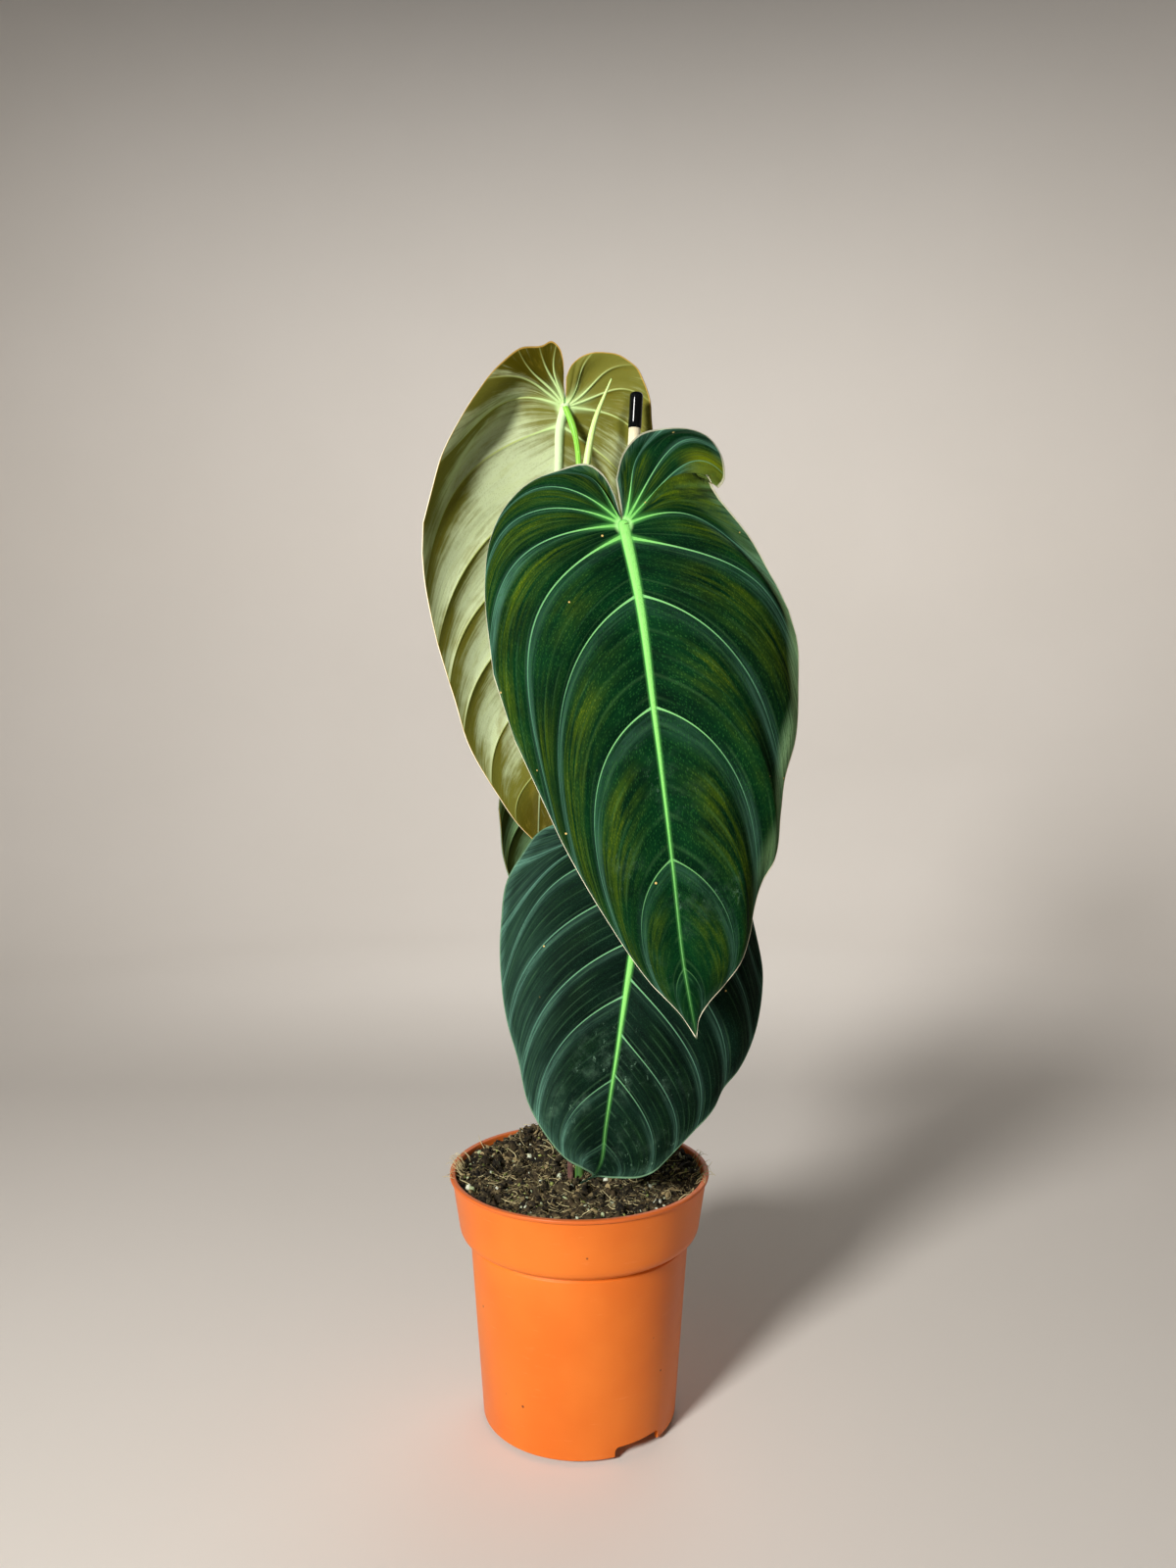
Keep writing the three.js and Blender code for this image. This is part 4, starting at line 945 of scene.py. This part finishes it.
def point_normals(points, faces):
    """Unit normals at the points, weighted by the faces' areas."""
    quads = as_quads(faces)
    a, b, c, d = (points[quads[:, k]] for k in range(4))
    cross = np.cross(c - a, d - b)
    flat = np.linalg.norm(cross, axis=1) < 1e-12
    cross[flat] = np.cross(b[flat] - a[flat], c[flat] - a[flat])
    return summed(cross, quads, len(points))


def calmed(normals, faces, rounds=4):
    """Normals averaged with their neighbours, so that a thin sheet's two sides don't cross in a crease."""
    quads = as_quads(faces)
    for _ in range(rounds):
        normals = summed(normals[quads].mean(1), quads, len(normals))
    return normals


def spine_fields(leaf, spine, places):
    """The fields of half_fields at the points on the midrib."""
    rib_width = rib_widths(leaf, spine)
    plain = {"across": 0, "vein": 5, "vein_width": 0.5, "room": 1, "edge": 9, "half": 0}
    fields = {name: np.full(len(spine), float(value)) for name, value in plain.items()}
    fields["edge"][-1] = 0
    fields.update(place=places, share=spine, hub=spine * SmoothLine(leaf["midrib"]).length)
    fields.update(rib=-rib_width, rib_width=rib_width)
    return fields


def blade_grid(leaf, detail, across):
    """The middle surface of a blade: points, fields, faces and border."""
    stops = midrib_stops(leaf, detail["step"])
    spine = np.array([0.0, *stops, 1.0])
    tip = len(stops) + 1
    points = [SmoothLine(leaf["midrib"]).at(spine)]
    count = len(spine)
    faces, borders, gathered = [], [], []
    for half in ("left", "right"):
        rows = leaf["veins_" + half]
        places, basal = places_of(rows, stops, detail["basal"])
        basal_lines = len(places) - len(stops)
        lines = vein_lines(leaf, half, places, across)
        fields = half_fields(leaf, half, places, across, lines)
        if half == "left":
            spine_places = np.concatenate([[basal], places[basal_lines:], [len(rows) - 1]])
            gathered.append(spine_fields(leaf, spine, spine_places))
        inner = lines[:, 1:, :].reshape(-1, 3)
        index = count + np.arange(len(inner)).reshape(len(places), -1)
        starts = np.concatenate([np.zeros(basal_lines, int), 1 + np.arange(len(stops))])
        grid = np.concatenate([starts[:, None], index], axis=1)
        grid = np.concatenate([grid, np.full((1, grid.shape[1]), tip)])
        points.append(inner)
        count += len(inner)
        gathered.append({name: values[:, 1:].ravel() for name, values in fields.items()})
        corners = grid[:-1, :-1], grid[1:, :-1], grid[1:, 1:], grid[:-1, 1:]
        for quad in np.stack(corners, axis=-1).reshape(-1, 4).tolist():
            quad = list(dict.fromkeys(quad))
            if len(quad) > 2:
                faces.append(tuple(quad if half == "left" else quad[::-1]))
        borders.append([*grid[0].tolist(), *grid[1:-1, -1].tolist(), tip])
    border = [*borders[0], *borders[1][::-1][1:-1]]
    fields = {name: np.concatenate([g[name] for g in gathered]) for name in gathered[0]}
    return np.concatenate(points), fields, faces, border


def border_walls(faces, border, under):
    """Quads that join the border of the upper faces to the same border of the lower ones."""
    directed = set()
    for quad in faces:
        directed.update(zip(quad, quad[1:] + quad[:1]))
    walls = []
    for start, end in zip(border, border[1:] + border[:1]):
        a, b = (start, end) if (start, end) in directed else (end, start)
        walls.append((b, a, a + under, b + under))
    return walls


def blade_piece(name, leaf, materials, detail):
    """A closed blade: pleated between its veins, with a ribbed upper side and ridges below."""
    points, f, faces, border = blade_grid(leaf, detail, crowded(detail["across"], LINE_CROWDING))
    face = unit(leaf["face"])
    if (point_normals(points, faces) @ face).sum() < 0:
        faces = [quad[::-1] for quad in faces]
    wave = ripples(points, WAVE_LENGTH, SEED) * WAVE_HEIGHT * smoothstep(0.1, 1, f["across"])
    pleats = pleat_height(leaf, f) * smoothstep(0.2, 0.75, point_normals(points, faces) @ face)
    points = points + face * (pleats + wave)[:, None]
    normals = calmed(point_normals(points, faces), faces)

    thinning = MARGIN_THINNING + (1 - MARGIN_THINNING) * smoothstep(0, 1.5, f["edge"])
    half = BLADE_THICKNESS / 2 * thinning
    rib = np.clip(1 - (np.maximum(f["rib"] + f["rib_width"], 0) / f["rib_width"]) ** 2, 0, 1)
    vein = bell(np.maximum(f["vein"] + f["vein_width"], 0), 0, 1.3 * f["vein_width"])
    vein = vein * smoothstep(0, 0.06, f["across"]) * smoothstep(1.05, 0.6, f["across"])
    bead = MARGIN_BEAD * smoothstep(0.9, 0.35, f["edge"])
    above = half + RIB_ABOVE * f["rib_width"] * rib**0.8 + VEIN_ABOVE * vein + bead
    ridge = (VEIN_BELOW + 0.7 * f["vein_width"]) * vein
    below = half + RIB_BELOW * f["rib_width"] * rib**0.7 + ridge + bead
    placed = np.concatenate([points + normals * above[:, None], points - normals * below[:, None]])

    under = len(points)
    lower_faces = [tuple(k + under for k in quad[::-1]) for quad in faces]
    walls = border_walls(faces, border, under)
    sides = [0] * len(faces) + [1] * len(faces) + [0] * len(walls)
    fields = {key: np.tile(f[key], 2) for key in BLADE_FIELDS}
    everything = [*faces, *lower_faces, *walls]
    return mesh_piece(name, placed + leaf["attach"], everything, materials, True, fields, sides)


def make_leaves():
    """The four blades. The front ones show their velvet to the viewer, the back ones their undersides."""
    upper_velvet = velvet_material("velvet_olive", UPPER_TONE)
    lower_velvet = velvet_material("velvet_blue", LOWER_TONE)
    pale_back = underside_material("underside_pale", PALE_TONE)
    green_back = underside_material("underside_green", GREEN_TONE)
    finishes = {
        "front_upper": (upper_velvet, green_back), "back_upper": (upper_velvet, pale_back),
        "front_lower": (lower_velvet, green_back), "back_lower": (lower_velvet, green_back),
    }
    for place, leaf in LEAVES.items():
        piece = blade_piece("blade_" + place, leaf, finishes[place], BLADE_DETAIL[place])
        belongs(piece, "leaf", "leaf_" + place)


# Stem, petioles and new leaf


def knee(share, turn):
    """A petiole: thick at its foot, swollen under the blade and slightly fluted."""
    swell = 0.22 * bell(share, 0.93, 0.04) + 0.5 * bell(share, 0, 0.035)
    return 1 + swell - 0.03 * np.cos(5 * turn) - 0.05 * np.maximum(0, np.cos(turn)) ** 6


def jointed(share, turn):
    """The stem: a raised ring and a narrow collar at every joint."""
    rings = sum(0.16 * bell(share, joint, 0.006) for joint in STEM_JOINTS)
    collars = sum(0.1 * bell(share, joint + 0.02, 0.004) for joint in STEM_JOINTS)
    return 1 + rings - collars + 0.025 * np.cos(7 * turn + 9 * share)


def rolled(share, turn):
    """The new leaf: a sheet rolled up with a seam that winds round it."""
    seam = (turn - 2.6 * share - 4.4) % CIRCLE
    return 0.94 + 0.16 * (1 - seam / CIRCLE) - 0.14 * bell(np.minimum(seam, CIRCLE - seam), 0, 0.16)


def papery(share, turn):
    """The dried sheath: flattened, with fine folds."""
    return 0.9 + 0.28 * np.cos(2 * turn + 1) + 0.08 * np.cos(9 * turn + 14 * share)


def sheath_shade(fields):
    """Stripes of light and dark round the dried sheath."""
    return 0.5 + 0.5 * np.sin(fields["turn"] * 40 + fields["share"] * 6)


def make_stalks():
    """The petioles, the stem, the rolled new leaf and the dried sheath."""
    green = stalk_material("petiole_skin", (118, 190, 58), (156, 220, 86), (200, 236, 150))
    stem_green = stalk_material("stem_skin", (52, 92, 44), (92, 132, 58), (160, 176, 110), 0.5)
    pale_green = stalk_material("spear_skin", (190, 228, 126), (216, 240, 164), (232, 246, 196), 0.42)
    husk = crumb_material("sheath_husk", (72, 46, 46), (116, 82, 74), (150, 120, 96), 0.75)
    for place, rows in PETIOLES.items():
        head = LEAVES[place]["attach"] - unit(LEAVES[place]["face"]) * PETIOLE_HEAD_DEPTH
        route = [*rows, (*head, PETIOLE_HEAD_RADIUS)]
        belongs(rod_piece("stalk_" + place, route, 24, 110, knee, green), "stem", "petiole_" + place)
    belongs(rod_piece("stem_jointed", STEM, 28, 300, jointed, stem_green), "stem", "stem")
    belongs(rod_piece("new_leaf_rolled", SPEAR, 32, 130, rolled, pale_green), "new_leaf", "new_leaf_spear")
    sheath = rod_piece("sheath_dried", DRIED_SHEATH, 24, 40, papery, husk, sheath_shade)
    belongs(sheath, "dried_sheath", "dried_sheath")


# Pot


def pot_profile():
    """The pot's section as (radius, z), from the middle of its floor round the rim and back inside."""
    inside_foot, inside_top = BODY_FOOT_RADIUS - WALL, BODY_TOP_RADIUS - WALL
    collar_foot, collar_top = COLLAR_FOOT_RADIUS - WALL, COLLAR_TOP_RADIUS - RIM_WALL
    roof = CHANNEL_HEIGHT + WALL
    channel_inside = CHANNEL_INNER - 1
    corners = [
        (0, 0), (CHANNEL_INNER - CHANNEL_SLOPE, 0), (CHANNEL_INNER, CHANNEL_HEIGHT),
        (CHANNEL_OUTER, CHANNEL_HEIGHT), (CHANNEL_OUTER + CHANNEL_LEAN, 0), (BODY_FOOT_RADIUS, 0),
        (BODY_TOP_RADIUS, BODY_TOP_Z), (BODY_TOP_RADIUS - GROOVE, BODY_TOP_Z + GROOVE_HEIGHT),
        (BODY_TOP_RADIUS + SHOULDER_OUT, BODY_TOP_Z + SHOULDER_HEIGHT),
        (COLLAR_FOOT_RADIUS - COLLAR_TUCK, COLLAR_FOOT_Z - COLLAR_TUCK_HEIGHT),
        (COLLAR_FOOT_RADIUS, COLLAR_FOOT_Z), (COLLAR_TOP_RADIUS + LIP_FLARE, LIP_FOOT_Z - LIP_STEP),
        (RIM_RADIUS, LIP_FOOT_Z), (RIM_RADIUS, POT_HEIGHT), (collar_top, POT_HEIGHT),
        (collar_foot, COLLAR_FOOT_Z), (inside_top, BODY_TOP_Z), (inside_foot, roof), (channel_inside, roof),
        (channel_inside - CHANNEL_SLOPE, WALL), (0, WALL),
    ]
    cuts = {
        1: 0.8, 2: 0.8, 3: 0.8, 4: 0.2, 5: 0.8, 6: 0.3, 7: 0.3, 8: 0.8, 9: 0.7, 10: 1, 11: 0.3, 12: 0.5,
        13: 0.7, 14: 0.8, 15: 0.8, 16: 0.8, 17: 1.2,
    }
    return rounded(corners, cuts)


def drain_hole(turn):
    """A round cutter through the floor's raised ring."""
    low, high = DRAIN_CUT
    points, faces = lathe_points([(0, low), (DRAIN_RADIUS, low), (DRAIN_RADIUS, high), (0, high)], 32)
    radius = (CHANNEL_INNER + CHANNEL_OUTER) / 2
    return points + [radius * math.cos(turn), radius * math.sin(turn), 0], faces


def foot_notch(turn):
    """An arched cutter through the body's foot."""
    half = NOTCH_WIDTH / 2
    side, top = half - NOTCH_ROUND, NOTCH_HEIGHT - NOTCH_ROUND
    angles = np.linspace(0, math.pi / 2, 6)
    bend = [(side + NOTCH_ROUND * math.sin(a), top + NOTCH_ROUND * math.cos(a)) for a in angles]
    arch = [(-half, -1), *[(-x, z) for x, z in bend[::-1]], *bend, (half, -1)]
    points = [
        (x * math.cos(turn) - y * math.sin(turn), x * math.sin(turn) + y * math.cos(turn), z)
        for y in (BODY_FOOT_RADIUS - 9, BODY_FOOT_RADIUS + 3)
        for x, z in arch
    ]
    return np.array(points), tube_faces(2, len(arch))


def make_pot():
    """The pot, turned from its profile, with the drain holes and foot notches cut out."""
    points, faces = lathe_points(pot_profile(), POT_SEGMENTS)
    piece = mesh_piece("pot_moulded", points, faces, [pot_material()])
    tools = [drain_hole(CIRCLE * (i + 0.5) / DRAIN_HOLES) for i in range(DRAIN_HOLES)]
    tools += [foot_notch(math.radians(degrees - 90)) for degrees in NOTCH_ANGLES]
    cutters = [mesh_piece(f"cutter_{i}", *tool, []) for i, tool in enumerate(tools)]
    for cutter in cutters:
        work = bmesh.new()
        work.from_mesh(cutter.data)
        bmesh.ops.recalc_face_normals(work, faces=work.faces)
        work.to_mesh(cutter.data)
        work.free()
        cut = piece.modifiers.new("cut", "BOOLEAN")
        cut.object = cutter
        cut.operation = "DIFFERENCE"
        cut.solver = "EXACT"
    ready = bpy.data.meshes.new_from_object(piece.evaluated_get(bpy.context.evaluated_depsgraph_get()))
    piece.modifiers.clear()
    piece.data = ready
    for cutter in cutters:
        bpy.data.objects.remove(cutter)
    height = ready.attributes.new("height", "FLOAT", "POINT")
    places = np.zeros(len(ready.vertices) * 3, np.float32)
    ready.vertices.foreach_get("co", places)
    height.data.foreach_set("value", places[2::3] / MM)
    ready.set_sharp_from_angle(angle=math.radians(40))
    belongs(piece, "pot", "pot")


# Soil


def soil_height(x, y):
    """The soil's uneven top, higher along the wall and on the heap at the back left."""
    radius, turn = np.hypot(x, y), np.arctan2(y, x) % CIRCLE
    clods = 0.7 * np.sin(3 * turn + 0.09 * radius) + 0.5 * np.sin(7 * turn - 0.21 * radius)
    crumbs = 0.6 * np.sin(0.45 * radius + 2 * turn) + 0.5 * np.sin(11 * turn + 0.3 * radius)
    level = (clods + crumbs) * np.clip(radius / LEVEL_RADIUS, 0, 1)
    bank = SOIL_BANK * smoothstep(*BANK_RANGE, radius)
    heap = bell(radius, HEAP["radius"], HEAP["width"]) * bell(turn, HEAP["turn"], HEAP["arc"])
    return SOIL_TOP + level + bank + HEAP["height"] * heap


def patches(points):
    """How light the soil is at points: damp dark patches between drier light ones."""
    return np.clip(0.62 + 0.8 * ripples(points, 10, 9), 0.16, 1)


def grains(rng, count, low, high, flatness, crowd=2.2, detail=1):
    """Seeded jagged grains scattered on the soil. Returns points, faces and each point's shade."""
    work = bmesh.new()
    bmesh.ops.create_icosphere(work, subdivisions=detail, radius=1)
    shape = np.array([v.co for v in work.verts])
    corners = np.array([[v.index for v in f.verts] for f in work.faces])
    work.free()
    radius = (SOIL_RADIUS - GRAIN_GAP) * np.sqrt(rng.uniform(0, 1, count))
    turn = rng.uniform(0, CIRCLE, count)
    x, y = radius * np.cos(turn), radius * np.sin(turn)
    size = low * (high / low) ** (rng.uniform(0, 1, count) ** crowd)
    length, width = rng.uniform(0.8, 1.7, count), rng.uniform(0.6, 1.1, count)
    stretch = np.stack([length, width, flatness * rng.uniform(0.6, 1.4, count)], 1)
    jag = 1 + rng.uniform(-0.28, 0.28, (count, len(shape), 1))
    body = shape[None] * jag * stretch[:, None, :] * size[:, None, None]
    body = body @ np.linalg.qr(rng.normal(size=(count, 3, 3)) * [1, 1, 0.55] + np.eye(3) * 1.2)[0]
    centre = np.stack([x, y, soil_height(x, y) + size * rng.uniform(-0.1, 0.6, count)], 1)
    faces = (corners[None] + (np.arange(count) * len(shape))[:, None, None]).reshape(-1, 3)
    shade = np.repeat(rng.uniform(0, 1, count), len(shape))
    return (body + centre[:, None, :]).reshape(-1, 3), faces.tolist(), shade


def bundle(threads, steps, sides):
    """Thin tubes along (spine, thickness, shade) threads. Returns points, faces and each point's shade."""
    points, faces, shades = [], [], []
    one = tube_faces(steps + 1, sides)
    angle = CIRCLE * np.arange(sides) / sides
    for i, (spine, thick, shade) in enumerate(threads):
        tangent = unit(np.gradient(spine, axis=0))
        side = unit(np.cross(tangent, [0, 0, 1.0]))
        up = np.cross(side, tangent)
        circle = np.cos(angle)[None, :, None] * side[:, None] + np.sin(angle)[None, :, None] * up[:, None]
        points.append((spine[:, None] + circle * thick[:, None, None]).reshape(-1, 3))
        faces += [tuple(i * (steps + 1) * sides + c for c in quad) for quad in one]
        shades.append(np.full((steps + 1) * sides, shade))
    return np.concatenate(points), faces, np.concatenate(shades)


def rim_hairs(rng, steps):
    """Loose root hairs that stand over the pot's rim, most of them at the left."""
    t = np.linspace(0, 1, steps + 1)
    for _ in range(HAIRS):
        turn = rng.normal(math.pi + 0.05, 0.2) if rng.uniform() < 0.6 else rng.normal(-0.15, 0.25)
        radius = RIM_RADIUS - rng.uniform(4, 7) + rng.uniform(4, 9) * t
        bend = turn + rng.normal(0, 0.12) * t**2
        z = POT_HEIGHT - 2.4 + rng.uniform(2.5, 6.5) * np.sin(t * rng.uniform(1.4, 2.6))
        spine = np.column_stack([radius * np.cos(bend), radius * np.sin(bend), z])
        yield spine, HAIR_RADIUS * (1.3 - t), rng.uniform()


def fibres(rng, steps, count, low, high, radius, lift):
    """Curved fibres lying on the soil, from low to high long, some of them rising at one end."""
    t = np.linspace(0, 1, steps + 1)
    for _ in range(count):
        away, turn = (SOIL_RADIUS - FIBRE_GAP) * math.sqrt(rng.uniform()), rng.uniform(0, CIRCLE)
        heading, bend = rng.uniform(0, CIRCLE), rng.normal(0, 0.22)
        length = rng.uniform(low, high)
        rise = rng.uniform(0, lift) * length
        path = [np.array([away * math.cos(turn), away * math.sin(turn)])]
        for _ in range(steps):
            heading += bend + rng.normal(0, 0.12)
            path.append(path[-1] + length / steps * np.array([math.cos(heading), math.sin(heading)]))
        path = np.array(path)
        path = path * np.minimum(1, (SOIL_RADIUS - EDGE_GAP) / np.maximum(np.hypot(*path.T), 1e-6))[:, None]
        z = soil_height(path[:, 0], path[:, 1]) + 0.5 + rise * t**1.6
        thick = radius * rng.uniform(0.5, 1.3) * (1 - 0.5 * t)
        yield np.column_stack([path, z]), thick, rng.uniform()


def soil_bed(peat):
    """The filling: a disc with a crumbly top, and a tapered side that goes down inside the pot."""
    radius = SOIL_RADIUS * np.linspace(0, 1, SOIL_RINGS + 1)[1:] ** 0.85
    turn = CIRCLE * np.arange(SOIL_SEGMENTS) / SOIL_SEGMENTS
    circle = np.column_stack([np.cos(turn), np.sin(turn)])
    flat = (radius[:, None, None] * circle).reshape(-1, 2)
    calm = np.clip((SOIL_RADIUS - np.hypot(*flat.T)) / 3, 0.3, 1)
    clods = 1.5 * np.abs(ripples(flat, 9, 3)) + 0.9 * np.abs(ripples(flat, 4.2, 4))
    clods += 0.45 * np.abs(ripples(flat, 2, 5)) + 0.25 * ripples(flat, 1.1, 7)
    top = np.column_stack([flat, soil_height(flat[:, 0], flat[:, 1]) + (clods - 1.7) * calm])
    rim = SOIL_RADIUS * circle * COLLAR_FOOT_RADIUS / COLLAR_TOP_RADIUS
    skirt = np.column_stack([rim, np.full(SOIL_SEGMENTS, SOIL_FOOT)])
    points = np.concatenate([[(0, 0, SOIL_TOP)], top, skirt, [(0, 0, SOIL_FOOT)]])
    faces = [(face[0], *face[:0:-1]) for face in disc_faces(SOIL_RINGS + 1, SOIL_SEGMENTS)]
    shade = 0.45 + 0.4 * ripples(points, 6, 6)
    belongs(mesh_piece("soil_bed", points, faces, [peat], fields={"shade": shade}), "soil", "soil")


def cover(name, made, material, low=0, span=1, power=1, patchy=False, smooth=True):
    """A layer of the soil's covering, each part's random shade taken to low..low + span."""
    points, faces, shade = made
    shade = (low + span * shade**power) * (patches(points) if patchy else 1)
    piece = mesh_piece("soil_" + name, points, faces, [material], smooth, {"shade": shade})
    belongs(piece, "soil")


def make_soil():
    """The filling and the loose parts on it, which share one row of random draws."""
    rng = np.random.default_rng(SEED)
    peat = crumb_material("peat", (20, 16, 11), (74, 62, 43), (104, 90, 60))
    crumb = crumb_material("peat_crumbs", (14, 11, 8), (148, 130, 92), (126, 114, 78))
    chip = crumb_material("bark_chips", (44, 34, 22), (176, 156, 112), (120, 112, 74), 0.8)
    straw = crumb_material("straw", (96, 78, 46), (226, 212, 160), (184, 168, 116), 0.7)
    white = crumb_material("perlite", (168, 180, 138), (222, 226, 208), (180, 194, 142), 0.85)
    green = crumb_material("moss", (74, 84, 36), (168, 178, 100), (110, 120, 50), 0.9)
    soil_bed(peat)
    cover("clods", grains(rng, 110, 1.4, 3.2, 0.7, detail=2), crumb, 0, 0.25, smooth=False)
    crumbs = grains(rng, 3800, 0.3, 1.6, 0.75, crowd=2.6)
    cover("crumbs", crumbs, crumb, power=1.8, patchy=True, smooth=False)
    cover("chips", grains(rng, 420, 0.5, 1.7, 0.22), chip, smooth=False)
    cover("fibres", bundle(fibres(rng, 7, 1150, 2, 7, 0.11, 0.5), 7, 4), straw, 0.12, 0.83, patchy=True)
    cover("straw", bundle(fibres(rng, 7, 130, 4, 11, 0.24, 0.45), 7, 4), straw, 0.6, 0.4)
    cover("rim_hairs", bundle(rim_hairs(rng, 8), 8, 3), straw, 0.6, 0.4)
    cover("perlite", grains(rng, 560, 0.2, 1.4, 0.85, crowd=3), white)
    cover("moss", grains(rng, 420, 0.35, 1.1, 0.6), green)


# Stake


def flatted(share, turn):
    """The stake: nearly round, with six faint flats."""
    return 1 + 0.006 * np.cos(6 * turn)


def make_stake():
    """The wooden stick and the glossy cap on its end."""
    axis = unit(STAKE_TOP - STAKE_FOOT)
    length = np.linalg.norm(STAKE_TOP - STAKE_FOOT)
    end = STAKE_FOOT + axis * (length - CAP_LENGTH + STICK_IN_CAP)
    rows = [(*STAKE_FOOT, STAKE_RADIUS), (*end, STAKE_RADIUS)]
    belongs(rod_piece("stake_stick", rows, 40, 60, flatted, wood_material()), "stake", "stake")

    foot = length - CAP_LENGTH + CAP_SHORTENING
    bore = foot + CAP_BORE_DEPTH
    outline = [
        (0, bore), (STAKE_RADIUS - CAP_CLEARANCE, bore), (CAP_RADIUS - 0.15, foot),
        (CAP_RADIUS, foot + 0.2), (CAP_RADIUS, foot + 3), (CAP_RADIUS, length - 4),
    ]
    for a in np.linspace(0, 1.5, 8):
        outline.append((CAP_RADIUS - CAP_ROUND * (1 - math.cos(a)), length - CAP_ROUND * (1 - math.sin(a))))
    points, faces = lathe_points([*outline, (0, length)], 48)
    side = unit(np.cross([0, 1.0, 0], axis))
    basis = np.stack([side, np.cross(axis, side), axis])
    cap = mesh_piece("stake_cap_gloss", points @ basis + STAKE_FOOT, faces, [cap_material()])
    cap.data.set_sharp_from_angle(angle=math.radians(50))
    belongs(cap, "stake_cap", "stake_cap")


# Studio


def make_camera():
    """The photograph's camera."""
    camera = bpy.data.objects.new("camera", bpy.data.cameras.new("camera"))
    camera.data.sensor_width = SENSOR
    camera.data.lens = FOCAL_PIXELS * SENSOR / PHOTO_HEIGHT
    camera.data.clip_start = 0.01
    camera.location = [v * MM for v in CAMERA_PLACE]
    camera.rotation_euler = (math.radians(CAMERA_PITCH), 0, 0)
    bpy.context.scene.collection.objects.link(camera)
    bpy.context.scene.camera = camera


def area_light(name, place, target, size, power, colour, spread):
    """A round soft light in metres and watts, spread over an angle in degrees."""
    light = bpy.data.lights.new(name, "AREA")
    light.shape = "DISK"
    light.size = size
    light.energy = power
    light.color = colour
    light.spread = math.radians(spread)
    lamp = bpy.data.objects.new(name, light)
    lamp.location = place
    lamp.visible_camera = False
    lamp.rotation_euler = (Vector(target) - Vector(place)).to_track_quat("-Z", "Y").to_euler()
    bpy.context.scene.collection.objects.link(lamp)


def make_studio():
    """A pale paper floor that curves up into a wall all round, under soft lights."""
    wall = FLOOR_RADIUS + COVE_RADIUS
    outside = wall + WALL_THICKNESS
    profile = [(0, -FLOOR_DIP), (FLOOR_RADIUS / 2, -FLOOR_DROP), (FLOOR_RADIUS, -FLOOR_DROP)]
    for a in np.linspace(0.1, 1.5, COVE_STEPS):
        rise = COVE_RADIUS * (1 - math.cos(a)) - FLOOR_DROP
        profile.append((FLOOR_RADIUS + COVE_RADIUS * math.sin(a), rise))
    profile += [(wall, WALL_TOP), (outside, WALL_TOP), (outside, -FLOOR_THICKNESS), (0, -FLOOR_THICKNESS)]
    points, faces = lathe_points(profile, 96)
    s = Shader("floor_paper")
    paper = s.mix(s.noise(3.0), (222, 216, 208), (228, 222, 215))
    mesh_piece("floor", points, faces, [s.finish(paper, Roughness=0.85, Specular_IOR_Level=0.1)])
    for row in LIGHTS:
        area_light(*row)
    world = bpy.data.worlds.new("studio")
    world.use_nodes = True
    background = world.node_tree.nodes["Background"]
    background.inputs[0].default_value = SKY
    background.inputs[1].default_value = SKY_STRENGTH
    bpy.context.scene.world = world
    bpy.context.scene.view_settings.view_transform = "Standard"


make_camera()
make_leaves()
make_stalks()
make_pot()
make_soil()
make_stake()
make_studio()
